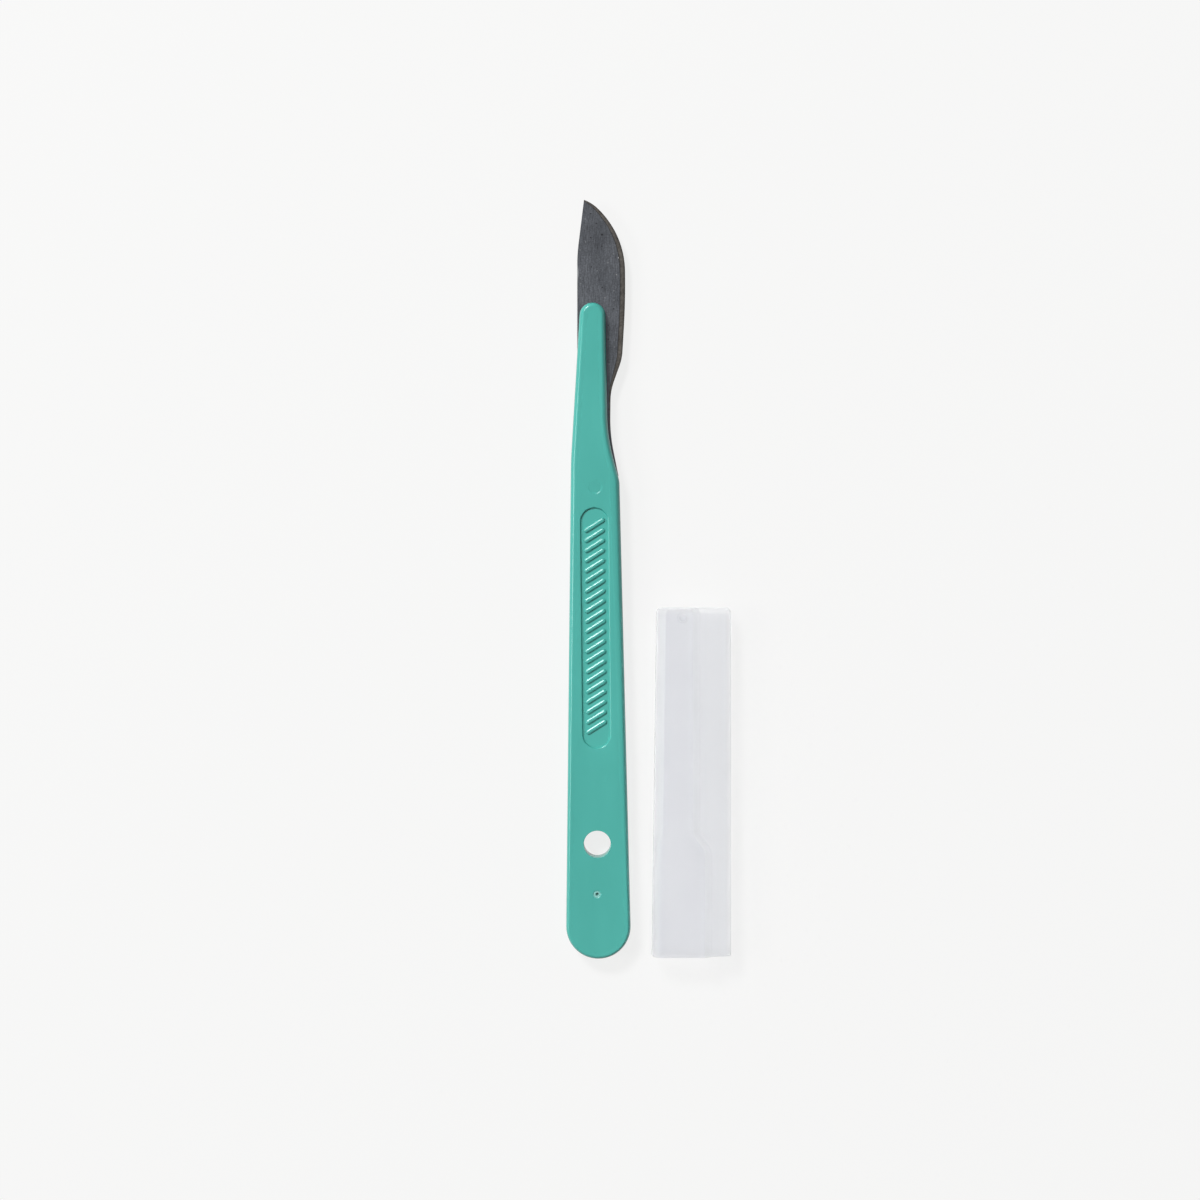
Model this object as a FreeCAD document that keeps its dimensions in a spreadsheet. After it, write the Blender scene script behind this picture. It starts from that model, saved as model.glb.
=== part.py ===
import FreeCAD, Part
import math
import os

import Sketcher
from FreeCAD import Vector

# Disposable scalpel lying on its back, with the blade cover taken off and lying beside it.
# Millimetres. +Z is up, +Y runs along the handle to the blade's tip, +X is the cutting edge's side.
# The origin is on the axis of the hanging hole, in the plane that the scalpel rests on.

doc = FreeCAD.newDocument("scalpel")
sheet = doc.addObject("Spreadsheet::Sheet", "Sizes")

SIZES = [
    ("handle_thickness", 4.8, "from the back face to the front face"),
    ("hole_radius", 2.7, "hanging hole"),
    ("tail_x", 0.05, "centre of the round tail"),
    ("tail_drop", 16.55, "from the hole down to the tail's centre"),
    ("tail_radius", 6.45, "round tail"),
    ("shoulder_x", 5.2, "corner where the body narrows, edge side"),
    ("shoulder_y", 72.4, "height of that corner"),
    ("shoulder_radius", 5.0, "rounding of that corner"),
    ("waist_x", 2.93, "corner where the neck begins, edge side"),
    ("waist_y", 81.1, "height of that corner"),
    ("waist_radius", 36.0, "hollow curve there"),
    ("bend_x", -4.47, "corner where the spine side leans in"),
    ("bend_y", 76.85, "height of that corner"),
    ("bend_radius", 90.0, "rounding of that corner"),
    ("tongue_x", 0.145, "centre of the neck's round end"),
    ("tongue_y", 105.6, "height of that centre"),
    ("tongue_radius", 2.6, "round end of the neck"),
    ("edge_rise", 1.4, "height of the rounding between side and face"),
    ("tail_edge", 0.65, "width of the rounding round the tail"),
    ("bend_edge", 0.95, "width of the rounding on the spine side"),
    ("tongue_edge", 0.95, "width of the rounding round the neck's end"),
    ("waist_edge_x", 1.15, "width of the rounding at the waist"),
    ("waist_edge_y", 0.75, "how far the face's corner lies above the waist's"),
    ("shoulder_edge_x", 1.3, "width of the rounding at the shoulder"),
    ("shoulder_edge_y", 0.9, "how far the rounding's inner corner lies above the shoulder's"),
    ("facet_drop", 0.05, "from the face down to the foot of the low facet inside the rounding"),
    ("facet_x", 0.8, "width of that facet at the shoulder, beyond the rounding"),
    ("facet_y", 1.5, "how far its inner corner lies above the rounding's"),
    ("recess_x", 0.08, "centre of the grip recess"),
    ("recess_low", 21.9, "centre of its lower round end"),
    ("recess_high", 64.35, "centre of its upper round end"),
    ("recess_radius", 2.85, "half the recess's width"),
    ("recess_depth", 0.45, "below the face"),
    ("recess_slope", 0.3, "how far the recess's wall leans in over that depth"),
    ("rib_count", 21, "ribs in one recess"),
    ("rib_low", 23.35, "centre of the lowest rib"),
    ("rib_pitch", 2.013, "from one rib to the next"),
    ("rib_length", 3.95, "between the centres of its round ends, at its foot"),
    ("rib_crest_length", 3.7, "the same at its top"),
    ("rib_foot", 0.95, "width of the rib at the recess's floor"),
    ("rib_top", 0.5, "width of the rib at its top"),
    ("rib_height", 0.38, "above the recess's floor"),
    ("rib_angle", 31.5, "rise towards the cutting edge's side, in degrees"),
    ("gate_x", -0.16, "mark of the moulding gate"),
    ("gate_drop", 10.0, "from the hole down to that mark"),
    ("gate_radius", 0.8, "dimple round the gate"),
    ("gate_depth", 0.12, "dimple round the gate"),
    ("pip_radius", 0.3, "torn pip in the dimple"),
    ("pip_depth", 0.4, "torn pip in the dimple"),
    ("pin_radius", 1.1, "marks of the ejector pins"),
    ("pin_depth", 0.05, "marks of the ejector pins"),
    ("upper_pin_x", 0.28, "mark above the grip"),
    ("upper_pin_y", 71.2, "mark above the grip"),
    ("lower_pin_x", 0.68, "mark below the grip"),
    ("lower_pin_y", 13.6, "mark below the grip"),
    ("blade_thickness", 0.4, "steel strip"),
    ("edge_thickness", 0.05, "left at the cutting edge"),
    ("edge_bevel", 1.1, "width of the ground bevel"),
    ("blade_tip_x", -1.32, "point of the blade"),
    ("blade_tip_y", 128.95, "point of the blade"),
    ("blade_nose_x", 0.27, "corner of the curve's tangents next to the point"),
    ("blade_nose_y", 128.35, "corner of the curve's tangents next to the point"),
    ("blade_nose_radius", 7.6, "curve there"),
    ("blade_belly_x", 6.765, "corner of the belly's tangents"),
    ("blade_belly_y", 121.85, "corner of the belly's tangents"),
    ("blade_belly_radius", 17.6, "curve of the belly"),
    ("blade_edge_x", 6.765, "corner of the edge's slight curve"),
    ("blade_edge_y", 108.4, "corner of the edge's slight curve"),
    ("blade_edge_radius", 150.0, "slight curve of the edge"),
    ("blade_heel_x", 5.99, "corner of the heel"),
    ("blade_heel_y", 97.1, "corner of the heel"),
    ("blade_heel_radius", 10.0, "curve of the heel"),
    ("blade_neck_x", 3.62, "hollow corner below the heel"),
    ("blade_neck_y", 90.65, "hollow corner below the heel"),
    ("blade_neck_radius", 12.0, "curve there"),
    ("blade_waist_x", 3.43, "corner where the tang widens again"),
    ("blade_waist_y", 81.9, "corner where the tang widens again"),
    ("blade_waist_radius", 34.0, "curve there"),
    ("tang_right_x", 5.02, "end of the tang, edge side"),
    ("tang_right_y", 73.5, "end of the tang, edge side"),
    ("tang_left_x", -3.2, "end of the tang, spine side"),
    ("tang_left_y", 77.0, "end of the tang, spine side"),
    ("blade_spine_x", -2.775, "corner where the spine turns to the point"),
    ("blade_spine_y", 118.1, "corner where the spine turns to the point"),
    ("blade_spine_radius", 34.0, "curve there"),
    ("keyhole_x", 0.15, "centre line of the tang's slot"),
    ("keyhole_low", 80.2, "centre of its wide end"),
    ("keyhole_high", 93.0, "centre of its narrow end"),
    ("keyhole_radius", 1.25, "half the slot's width"),
    ("keyhole_eye_radius", 1.95, "wide end of the slot"),
    ("slot_fit", 0.08, "clearance round the blade in the handle, in its plane"),
    ("slot_gap", 0.03, "clearance each side of the blade"),
    ("cover_length", 69.5, "from the mouth to the closed end"),
    ("cover_lap", 3.4, "how far the mouth goes past the shoulder when the cover is on"),
    ("cover_fit", 0.15, "clearance between handle and cover"),
    ("cover_side_wall", 0.87, "side walls"),
    ("cover_face_wall", 1.1, "front and back walls"),
    ("cover_end_wall", 1.3, "closed end"),
    ("cover_step", 21.6, "from the mouth to where the channel narrows"),
    ("cover_step_length", 2.5, "length of the narrowing"),
    ("cover_slope", 0.85, "run of the channel's sides for each millimetre of height"),
    ("cover_foot", 1.2, "half the height at which the channel's sides end in the pocket"),
    ("cover_bevel", 0.82, "cut corners inside the channel"),
    ("cover_spine_room", 0.5, "more room on the spine side of the narrow channel"),
    ("cover_round", 1.9, "rounding of the wide channel on the spine side"),
    ("cover_round_lean", 0.5, "lean of its side below that rounding"),
    ("cover_crease", 0.25, "rounding of the channel's other corners"),
    ("cover_draft", 0.0135, "how far the spine side leans in for each millimetre of length"),
    ("cover_end_bevel", 0.7, "cut edge round the closed end"),
    ("pocket_gap", 0.6, "room each side of the blade"),
    ("pocket_room", 2.5, "room beyond the cutting edge"),
    ("pocket_round", 1.2, "rounding of the blade pocket's long edges"),
    ("cover_gate_x", 0.37, "gate mark on the cover"),
    ("cover_gate_drop", 2.0, "from the closed end down to that mark"),
    ("cover_gate_radius", 0.8, "gate mark on the cover"),
    ("cover_gate_depth", 0.15, "gate mark on the cover"),
    ("cover_aside", 4.15, "gap between the tail and the cover that lies beside it"),
    ("cover_up", 0.5, "how far the cover's mouth lies above the tail's end"),
    ("cover_turn", 0.6, "how far the cover lies turned, in degrees"),
]

for row, (alias, number, note) in enumerate(SIZES, 1):
    sheet.set(f"A{row}", alias)
    sheet.set(f"B{row}", str(number))
    sheet.setAlias(f"B{row}", alias)
    sheet.set(f"C{row}", note)
doc.recompute()


def size(alias):
    return f"Sizes.{alias}"


def value(expression):
    return float(sheet.evalExpression(expression))


def line_x(x1, y1, x2, y2, y):
    """Expression for x at height y on the line through two points given as expressions."""
    return f"(({x1}) + (({x2}) - ({x1})) * (({y}) - ({y1})) / (({y2}) - ({y1})))"


# Outlines. An outline is a list of stations, counter-clockwise. A corner has x, y and a radius
# (none when it is sharp). A disc is a round end whose centre and radius are known.


def corner(x, y, radius=None):
    return {"disc": False, "x": x, "y": y, "radius": radius}


def disc(x, y, radius):
    return {"disc": True, "x": x, "y": y, "radius": radius}


def tangent_point(centre, radius, point, leaving):
    """Where the line between a point and a disc touches it, with the disc on the line's left."""
    reach = point - centre
    lean = math.acos(radius / reach.Length)
    middle = math.atan2(reach.y, reach.x)
    angle = middle - lean if leaving else middle + lean
    return centre + Vector(radius * math.cos(angle), radius * math.sin(angle), 0)


def run_ends(a, b):
    """Ends of the straight run from station a to station b, before corners are rounded."""
    start = Vector(value(a["x"]), value(a["y"]), 0)
    end = Vector(value(b["x"]), value(b["y"]), 0)
    if a["disc"]:
        return tangent_point(start, value(a["radius"]), end, True), end
    if b["disc"]:
        return start, tangent_point(end, value(b["radius"]), start, False)
    return start, end


def tangent_lengths(stations, runs):
    """How much of its two runs each rounded corner takes, and the share of its radius that fits."""
    lengths = []
    for i, station in enumerate(stations):
        if station["disc"] or station["radius"] is None:
            lengths.append(0.0)
            continue
        into = (runs[i - 1][1] - runs[i - 1][0]).normalize()
        out = (runs[i][1] - runs[i][0]).normalize()
        lengths.append(value(station["radius"]) * math.tan(into.getAngle(out) / 2))
    shares = [1.0] * len(stations)
    for i, (start, end) in enumerate(runs):
        following = (i + 1) % len(stations)
        taken = lengths[i] + lengths[following]
        room = 0.985 * (end - start).Length
        if taken > room:
            shares[i] = min(shares[i], room / taken)
            shares[following] = min(shares[following], room / taken)
    return [length * share for length, share in zip(lengths, shares)], shares


def fix(sketch, kind, name, expression, *where):
    """Add a driving dimension and bind it to an expression."""
    number = sketch.addConstraint(Sketcher.Constraint(kind, *where, value(expression)))
    sketch.renameConstraint(number, name)
    sketch.setExpression(f"Constraints.{name}", expression)


def add_outline(sketch, stations):
    """Draw the outline with tangent lines and arcs, and dimension its stations."""
    count = len(stations)
    runs = [run_ends(stations[i], stations[(i + 1) % count]) for i in range(count)]
    taken, shares = tangent_lengths(stations, runs)
    lines = []
    for i, (start, end) in enumerate(runs):
        way = (end - start).normalize()
        first = start + way * taken[i]
        last = end - way * taken[(i + 1) % count]
        lines.append(sketch.addGeometry(Part.LineSegment(first, last), False))
    for i, station in enumerate(stations):
        before = lines[i - 1]
        after = lines[i]
        arrive = sketch.Geometry[before].EndPoint
        leave = sketch.Geometry[after].StartPoint
        label = f"station_{i}"
        if station["disc"]:
            centre = Vector(value(station["x"]), value(station["y"]), 0)
            add_arc(sketch, label, centre, arrive, leave, True, before, after, station["radius"])
            arc = sketch.GeometryCount - 1
            fix(sketch, "DistanceX", f"{label}_x", station["x"], arc, 3)
            fix(sketch, "DistanceY", f"{label}_y", station["y"], arc, 3)
            continue
        if station["radius"] is None:
            sketch.addConstraint(Sketcher.Constraint("Coincident", before, 2, after, 1))
            fix(sketch, "DistanceX", f"{label}_x", station["x"], after, 1)
            fix(sketch, "DistanceY", f"{label}_y", station["y"], after, 1)
            continue
        into = (runs[i - 1][1] - runs[i - 1][0]).normalize()
        out = (runs[i][1] - runs[i][0]).normalize()
        left_turn = into.cross(out).z > 0
        radius = value(station["radius"]) * shares[i]
        inward = Vector(-into.y, into.x, 0) * (radius if left_turn else -radius)
        wanted = station["radius"]
        if shares[i] < 1.0:
            wanted = f"({wanted}) * {shares[i]:.6f}"
        add_arc(sketch, label, arrive + inward, arrive, leave, left_turn, before, after, wanted)
        place = Vector(value(station["x"]), value(station["y"]), 0)
        mark = sketch.addGeometry(Part.Point(place), True)
        sketch.addConstraint(Sketcher.Constraint("PointOnObject", mark, 1, before))
        sketch.addConstraint(Sketcher.Constraint("PointOnObject", mark, 1, after))
        fix(sketch, "DistanceX", f"{label}_x", station["x"], mark, 1)
        fix(sketch, "DistanceY", f"{label}_y", station["y"], mark, 1)


def add_arc(sketch, label, centre, arrive, leave, left_turn, before, after, radius):
    """Add an arc that joins two lines tangentially. An arc always runs counter-clockwise."""
    first, last = (arrive, leave) if left_turn else (leave, arrive)
    start = math.atan2(first.y - centre.y, first.x - centre.x)
    end = math.atan2(last.y - centre.y, last.x - centre.x)
    if end < start:
        end += 2 * math.pi
    circle = Part.Circle(centre, Vector(0, 0, 1), (first - centre).Length)
    arc = sketch.addGeometry(Part.ArcOfCircle(circle, start, end), False)
    arriving, leaving = (1, 2) if left_turn else (2, 1)
    sketch.addConstraint(Sketcher.Constraint("Tangent", before, 2, arc, arriving))
    sketch.addConstraint(Sketcher.Constraint("Tangent", arc, leaving, after, 1))
    fix(sketch, "Radius", f"{label}_radius", radius, arc)


def inset(stations, depth, shares):
    """Move each corner inwards by the depth times its share, so that its runs move in parallel."""
    moved = []
    count = len(stations)
    for i, (station, share) in enumerate(zip(stations, shares)):
        before = run_ends(stations[i - 1], station)
        after = run_ends(station, stations[(i + 1) % count])
        into = (before[1] - before[0]).normalize()
        out = (after[1] - after[0]).normalize()
        normal = Vector(-into.y - out.y, into.x + out.x, 0).normalize()
        reach = share / normal.dot(Vector(-into.y, into.x, 0))
        x = f"{station['x']} + ({depth}) * {reach * normal.x:.6f}"
        y = f"{station['y']} + ({depth}) * {reach * normal.y:.6f}"
        moved.append(corner(x, y, station["radius"]))
    return moved


def slid_back(stations, i, depth):
    """A corner moved along the run after it until it lies the depth inside the run before it."""
    before = run_ends(stations[i - 1], stations[i])
    after = run_ends(stations[i], stations[(i + 1) % len(stations)])
    into = (before[1] - before[0]).normalize()
    out = (after[1] - after[0]).normalize()
    travel = 1 / out.dot(Vector(-into.y, into.x, 0))
    x = f"{stations[i]['x']} + ({depth}) * {travel * out.x:.6f}"
    y = f"{stations[i]['y']} + ({depth}) * {travel * out.y:.6f}"
    return corner(x, y)


# Bodies, sketches and features


def new_body(label):
    body = doc.addObject("PartDesign::Body", label)
    body.Label = label
    return body


def origin_plane(body, role):
    return next(item for item in body.Origin.OriginFeatures if item.Role == role)


def new_sketch(body, name, role="XY_Plane", height="0"):
    """A sketch on an origin plane, moved along the plane's normal by an expression."""
    sketch = body.newObject("Sketcher::SketchObject", name)
    sketch.AttachmentSupport = [(origin_plane(body, role), "")]
    sketch.MapMode = "FlatFace"
    sketch.setExpression("AttachmentOffset.Base.z", height)
    return sketch


def outline_sketch(body, name, stations, role="XY_Plane", height="0"):
    sketch = new_sketch(body, name, role, height)
    add_outline(sketch, stations)
    return sketch


def circle_sketch(body, name, x, y, radius, height="0"):
    sketch = new_sketch(body, name, "XY_Plane", height)
    centre = Vector(value(x), value(y), 0)
    circle = sketch.addGeometry(Part.Circle(centre, Vector(0, 0, 1), value(radius)), False)
    fix(sketch, "DistanceX", "centre_x", x, circle, 3)
    fix(sketch, "DistanceY", "centre_y", y, circle, 3)
    fix(sketch, "Radius", "circle_radius", radius, circle)
    return sketch


def prism(body, kind, name, sketch, length, symmetric=False):
    """A pad or a pocket of one sketch."""
    feature = body.newObject(f"PartDesign::{kind}", name)
    feature.Profile = sketch
    feature.SideType = "Symmetric" if symmetric else "One side"
    feature.setExpression("Length", length)
    doc.recompute()
    return feature


def loft(body, kind, name, sketches):
    feature = body.newObject(f"PartDesign::{kind}Loft", name)
    feature.Profile = sketches[0]
    feature.Sections = sketches[1:]
    feature.Ruled = True
    doc.recompute()
    return feature


def mirrored(body, name, originals):
    """Repeat features on the other side of the body's middle plane."""
    feature = body.newObject("PartDesign::Mirrored", name)
    feature.Originals = originals
    feature.MirrorPlane = (origin_plane(body, "XY_Plane"), [""])
    body.Tip = feature
    doc.recompute()
    return feature


def slot_sketch(body, name, ends, radius, height="0"):
    """A slot with round ends, whose two centres are given as x, y, x, y."""
    sketch = new_sketch(body, name, "XY_Plane", height)
    x1, y1, x2, y2 = ends
    start = Vector(value(x1), value(y1), 0)
    end = Vector(value(x2), value(y2), 0)
    wide = value(radius)
    way = (end - start).normalize()
    side = Vector(way.y, -way.x, 0) * wide
    turn = math.atan2(side.y, side.x)
    right = sketch.addGeometry(Part.LineSegment(start + side, end + side), False)
    cap = Part.Circle(end, Vector(0, 0, 1), wide)
    far = sketch.addGeometry(Part.ArcOfCircle(cap, turn, turn + math.pi), False)
    left = sketch.addGeometry(Part.LineSegment(end - side, start - side), False)
    cap = Part.Circle(start, Vector(0, 0, 1), wide)
    near = sketch.addGeometry(Part.ArcOfCircle(cap, turn + math.pi, turn + 2 * math.pi), False)
    sketch.addConstraint(Sketcher.Constraint("Tangent", right, 2, far, 1))
    sketch.addConstraint(Sketcher.Constraint("Tangent", far, 2, left, 1))
    sketch.addConstraint(Sketcher.Constraint("Tangent", left, 2, near, 1))
    sketch.addConstraint(Sketcher.Constraint("Tangent", near, 2, right, 1))
    fix(sketch, "DistanceX", "start_x", x1, near, 3)
    fix(sketch, "DistanceY", "start_y", y1, near, 3)
    fix(sketch, "DistanceX", "end_x", x2, far, 3)
    fix(sketch, "DistanceY", "end_y", y2, far, 3)
    fix(sketch, "Radius", "slot_radius", radius, near)
    return sketch


# Handle: one moulding. Its plan is drawn at several levels between the side wall and the face,
# so that the edge is rounded, narrow at the tail and wide at the shoulder. A very low facet lies
# between the rounding and the face on the cutting edge's side.


def handle_outline(inward, facet=0.0):
    """The handle's plan, with its edges moved in by shares of the rounding and of the facet."""
    share = f"{inward:.6f}"
    tail = disc(
        size("tail_x"),
        f"-{size('tail_drop')}",
        f"{size('tail_radius')} - {size('tail_edge')} * {share}",
    )
    shoulder = corner(
        f"{size('shoulder_x')} - {size('shoulder_edge_x')} * {share} - {size('facet_x')} * {facet}",
        f"{size('shoulder_y')} + {size('shoulder_edge_y')} * {share} + {size('facet_y')} * {facet}",
        size("shoulder_radius"),
    )
    waist = corner(
        f"{size('waist_x')} - {size('waist_edge_x')} * {share}",
        f"{size('waist_y')} + {size('waist_edge_y')} * {share}",
        size("waist_radius"),
    )
    tongue = disc(
        size("tongue_x"),
        size("tongue_y"),
        f"{size('tongue_radius')} - {size('tongue_edge')} * {share}",
    )
    bend = corner(f"{size('bend_x')} + {size('bend_edge')} * {share}", size("bend_y"), size("bend_radius"))
    return [tail, shoulder, waist, tongue, bend]


def blade_corners():
    """The blade's outline from the tang round the cutting edge to the point and down the spine."""
    names = ["waist", "neck", "heel", "edge", "belly", "nose"]
    curved = [corner(size(f"blade_{n}_x"), size(f"blade_{n}_y"), size(f"blade_{n}_radius")) for n in names]
    tang_right = corner(size("tang_right_x"), size("tang_right_y"))
    tip = corner(size("blade_tip_x"), size("blade_tip_y"))
    spine = corner(size("blade_spine_x"), size("blade_spine_y"), size("blade_spine_radius"))
    tang_left = corner(size("tang_left_x"), size("tang_left_y"))
    return [tang_right, *curved, tip, spine, tang_left]


half_thickness = f"{size('handle_thickness')} / 2"
blade_channel = f"{size('blade_thickness')} + 2 * {size('slot_gap')}"

handle = new_body("handle")
side = outline_sketch(handle, "handle_plan", handle_outline(0.0))
side_height = f"{size('handle_thickness')} - 2 * {size('edge_rise')}"
prism(handle, "Pad", "handle_side", side, side_height, symmetric=True)

facet_angle = math.asin(1 - value(size("facet_drop")) / value(size("edge_rise")))
levels = []
for step, angle in enumerate((0.0, 0.4 * facet_angle, 0.75 * facet_angle, facet_angle)):
    height = f"{half_thickness} - {size('edge_rise')} * {1 - math.sin(angle):.6f}"
    plan = handle_outline(1 - math.cos(angle))
    levels.append(outline_sketch(handle, f"handle_level_{step}", plan, height=height))
levels.append(outline_sketch(handle, "handle_face", handle_outline(1.0, 1.0), height=half_thickness))
crown = loft(handle, "Additive", "handle_crown", levels)
mirrored(handle, "handle_crown_back", [crown])

# The blade lies in a slot that opens at the neck's end and on the cutting edge's side
slot_bottom = f"{size('tang_right_y')} - {size('slot_fit')}"
slot_far = f"{size('tail_x')} + 2 * {size('tail_radius')}"
slot_top = f"{size('tongue_y')} + 2 * {size('tongue_radius')}"
blade_slot = outline_sketch(
    handle,
    "blade_slot_plan",
    [
        corner(f"{size('tang_left_x')} - {size('slot_fit')}", f"{size('tang_left_y')} - {size('slot_fit')}"),
        corner(size("tang_right_x"), slot_bottom),
        corner(slot_far, slot_bottom),
        corner(slot_far, slot_top),
        corner(f"{size('blade_spine_x')} - {size('slot_fit')}", slot_top),
        corner(f"{size('blade_spine_x')} - {size('slot_fit')}", size("blade_spine_y")),
    ],
)
prism(handle, "Pocket", "blade_slot", blade_slot, blade_channel, symmetric=True)

# A boss joins the two halves of the neck through the keyhole in the tang
boss_radius = f"{size('keyhole_radius')} - {size('slot_fit')}"
keyhole_ends = (size("keyhole_x"), size("keyhole_low"), size("keyhole_x"), size("keyhole_high"))
boss = slot_sketch(handle, "boss_plan", keyhole_ends, boss_radius)
prism(handle, "Pad", "boss", boss, blade_channel, symmetric=True)
eye_radius = f"{size('keyhole_eye_radius')} - {size('slot_fit')}"
boss_eye = circle_sketch(handle, "boss_eye_plan", size("keyhole_x"), size("keyhole_low"), eye_radius)
prism(handle, "Pad", "boss_eye", boss_eye, blade_channel, symmetric=True)

hole = circle_sketch(handle, "hang_hole_plan", "0", "0", size("hole_radius"))
prism(handle, "Pocket", "hang_hole", hole, f"{size('handle_thickness')} + 1", symmetric=True)

# Grip: a shallow recess with slanted ribs on both faces
floor_height = f"({half_thickness} - {size('recess_depth')})"
recess_ends = (size("recess_x"), size("recess_low"), size("recess_x"), size("recess_high"))
floor_radius = f"{size('recess_radius')} - {size('recess_slope')}"
recess_levels = [
    slot_sketch(handle, "grip_recess_rim", recess_ends, size("recess_radius"), half_thickness),
    slot_sketch(handle, "grip_recess_floor", recess_ends, floor_radius, floor_height),
]
grip_recess = loft(handle, "Subtractive", "grip_recess", recess_levels)
mirrored(handle, "grip_recess_back", [grip_recess])


def rib_sketch(name, length, width, height):
    """One level of the lowest rib, which the others are copies of."""
    run = f"{size(length)} / 2 * cos({size('rib_angle')} * 1 deg)"
    climb = f"{size(length)} / 2 * sin({size('rib_angle')} * 1 deg)"
    ends = (
        f"{size('recess_x')} - {run}",
        f"{size('rib_low')} - {climb}",
        f"{size('recess_x')} + {run}",
        f"{size('rib_low')} + {climb}",
    )
    return slot_sketch(handle, name, ends, f"{size(width)} / 2", height)


rib_levels = [
    rib_sketch("grip_rib_foot", "rib_length", "rib_foot", floor_height),
    rib_sketch("grip_rib_crest", "rib_crest_length", "rib_top", f"{floor_height} + {size('rib_height')}"),
]
grip_rib = loft(handle, "Additive", "grip_rib", rib_levels)
ribs = handle.newObject("PartDesign::MultiTransform", "grip_ribs")
ribs.Originals = [grip_rib]
row_of_ribs = handle.newObject("PartDesign::LinearPattern", "rib_row")
row_of_ribs.Direction = (next(a for a in handle.Origin.OriginFeatures if a.Role == "Y_Axis"), [""])
row_of_ribs.Mode = "Spacing"
row_of_ribs.setExpression("Offset", size("rib_pitch"))
row_of_ribs.setExpression("Occurrences", size("rib_count"))
both_faces = handle.newObject("PartDesign::Mirrored", "rib_faces")
both_faces.MirrorPlane = (origin_plane(handle, "XY_Plane"), [""])
ribs.Transformations = [row_of_ribs, both_faces]
handle.Tip = ribs
doc.recompute()

# Marks of the mould: the gate near the tail and two ejector pins, on the front face only
gate_y = f"-{size('gate_drop')}"
gate = circle_sketch(handle, "gate_plan", size("gate_x"), gate_y, size("gate_radius"), half_thickness)
prism(handle, "Pocket", "gate_dimple", gate, size("gate_depth"))
pip = circle_sketch(handle, "gate_pip_plan", size("gate_x"), gate_y, size("pip_radius"), half_thickness)
prism(handle, "Pocket", "gate_pip", pip, size("pip_depth"))
for place in ("upper", "lower"):
    x = size(f"{place}_pin_x")
    y = size(f"{place}_pin_y")
    pin = circle_sketch(handle, f"{place}_pin_plan", x, y, size("pin_radius"), half_thickness)
    prism(handle, "Pocket", f"{place}_pin_mark", pin, size("pin_depth"))

handle.setExpression("Placement.Base.z", half_thickness)

# Blade: stamped from strip and ground on both sides of its cutting edge. The bevel follows the
# edge from the point to the heel and runs out in the hollow below it.

blade = new_body("blade")
full = outline_sketch(blade, "blade_plan", blade_corners())
prism(blade, "Pad", "blade_edge_web", full, size("edge_thickness"), symmetric=True)
bevel_shares = [0.0, 0.0, 0.3, 1.0, 1.0, 1.0, 1.0, 0.0, 0.0, 0.0]
ground = inset(blade_corners(), size("edge_bevel"), bevel_shares)
point = len(ground) - 3
ground[point] = slid_back(blade_corners(), point, size("edge_bevel"))
web_face = f"{size('edge_thickness')} / 2"
blade_face = f"{size('blade_thickness')} / 2"
flat_levels = [
    outline_sketch(blade, "blade_web_plan", blade_corners(), height=web_face),
    outline_sketch(blade, "blade_flat_plan", ground, height=blade_face),
]
flat = loft(blade, "Additive", "blade_flat", flat_levels)
mirrored(blade, "blade_flat_back", [flat])
keyhole = slot_sketch(blade, "keyhole_plan", keyhole_ends, size("keyhole_radius"))
through = f"{size('blade_thickness')} + 1"
prism(blade, "Pocket", "keyhole", keyhole, through, symmetric=True)
eye_place = (size("keyhole_x"), size("keyhole_low"))
eye = circle_sketch(blade, "keyhole_eye_plan", *eye_place, size("keyhole_eye_radius"))
prism(blade, "Pocket", "keyhole_eye", eye, through, symmetric=True)
blade.setExpression("Placement.Base.z", half_thickness)

# Blade cover: a thin-walled sheath, drawn in the handle's own x so that it fits when it is on.
# A flat pocket takes the blade, and a raised channel on both faces takes the neck. Below the
# step the channel widens for the body of the handle.

mouth_y = f"({size('shoulder_y')} - {size('cover_lap')})"
step_y = f"({mouth_y} + {size('cover_step')})"
body_left = line_x(
    size("bend_x"),
    size("bend_y"),
    f"{size('tail_x')} - {size('tail_radius')}",
    f"-{size('tail_drop')}",
    mouth_y,
)
body_right = line_x(
    size("shoulder_x"),
    size("shoulder_y"),
    f"{size('tail_x')} + {size('tail_radius')}",
    f"-{size('tail_drop')}",
    mouth_y,
)
spine_side = line_x(
    size("bend_x"),
    size("bend_y"),
    f"{size('tongue_x')} - {size('tongue_radius')}",
    size("tongue_y"),
    step_y,
)
neck_left = f"({spine_side} - {size('cover_spine_room')})"
neck_right = line_x(
    size("waist_x"),
    size("waist_y"),
    f"{size('tongue_x')} + {size('tongue_radius')}",
    size("tongue_y"),
    step_y,
)
inner_face = f"({half_thickness} + {size('cover_fit')})"
outer_face = f"({inner_face} + {size('cover_face_wall')})"
side_top = f"({inner_face} - {size('cover_bevel')} / {size('cover_slope')})"
slant_wall = f"({size('cover_side_wall')} * sqrt(1 + {size('cover_slope')} ^ 2))"
end_y = size("cover_length")
end_bevel_y = f"{size('cover_length')} - {size('cover_end_bevel')}"
end_inner_y = f"{size('cover_length')} - {size('cover_end_wall')}"


def drawn_in(side, y, start="0"):
    """The spine side at a distance y from the mouth, where it leans in from the start on."""
    return f"({side} + {size('cover_draft')} * (({y}) - ({start})))"


def mirror_section(front):
    """A section from its front half, listed from the left foot up and over to the right foot."""
    back = [corner(point["x"], f"-({point['y']})", point["radius"]) for point in front]
    return back + front[::-1]


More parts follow.
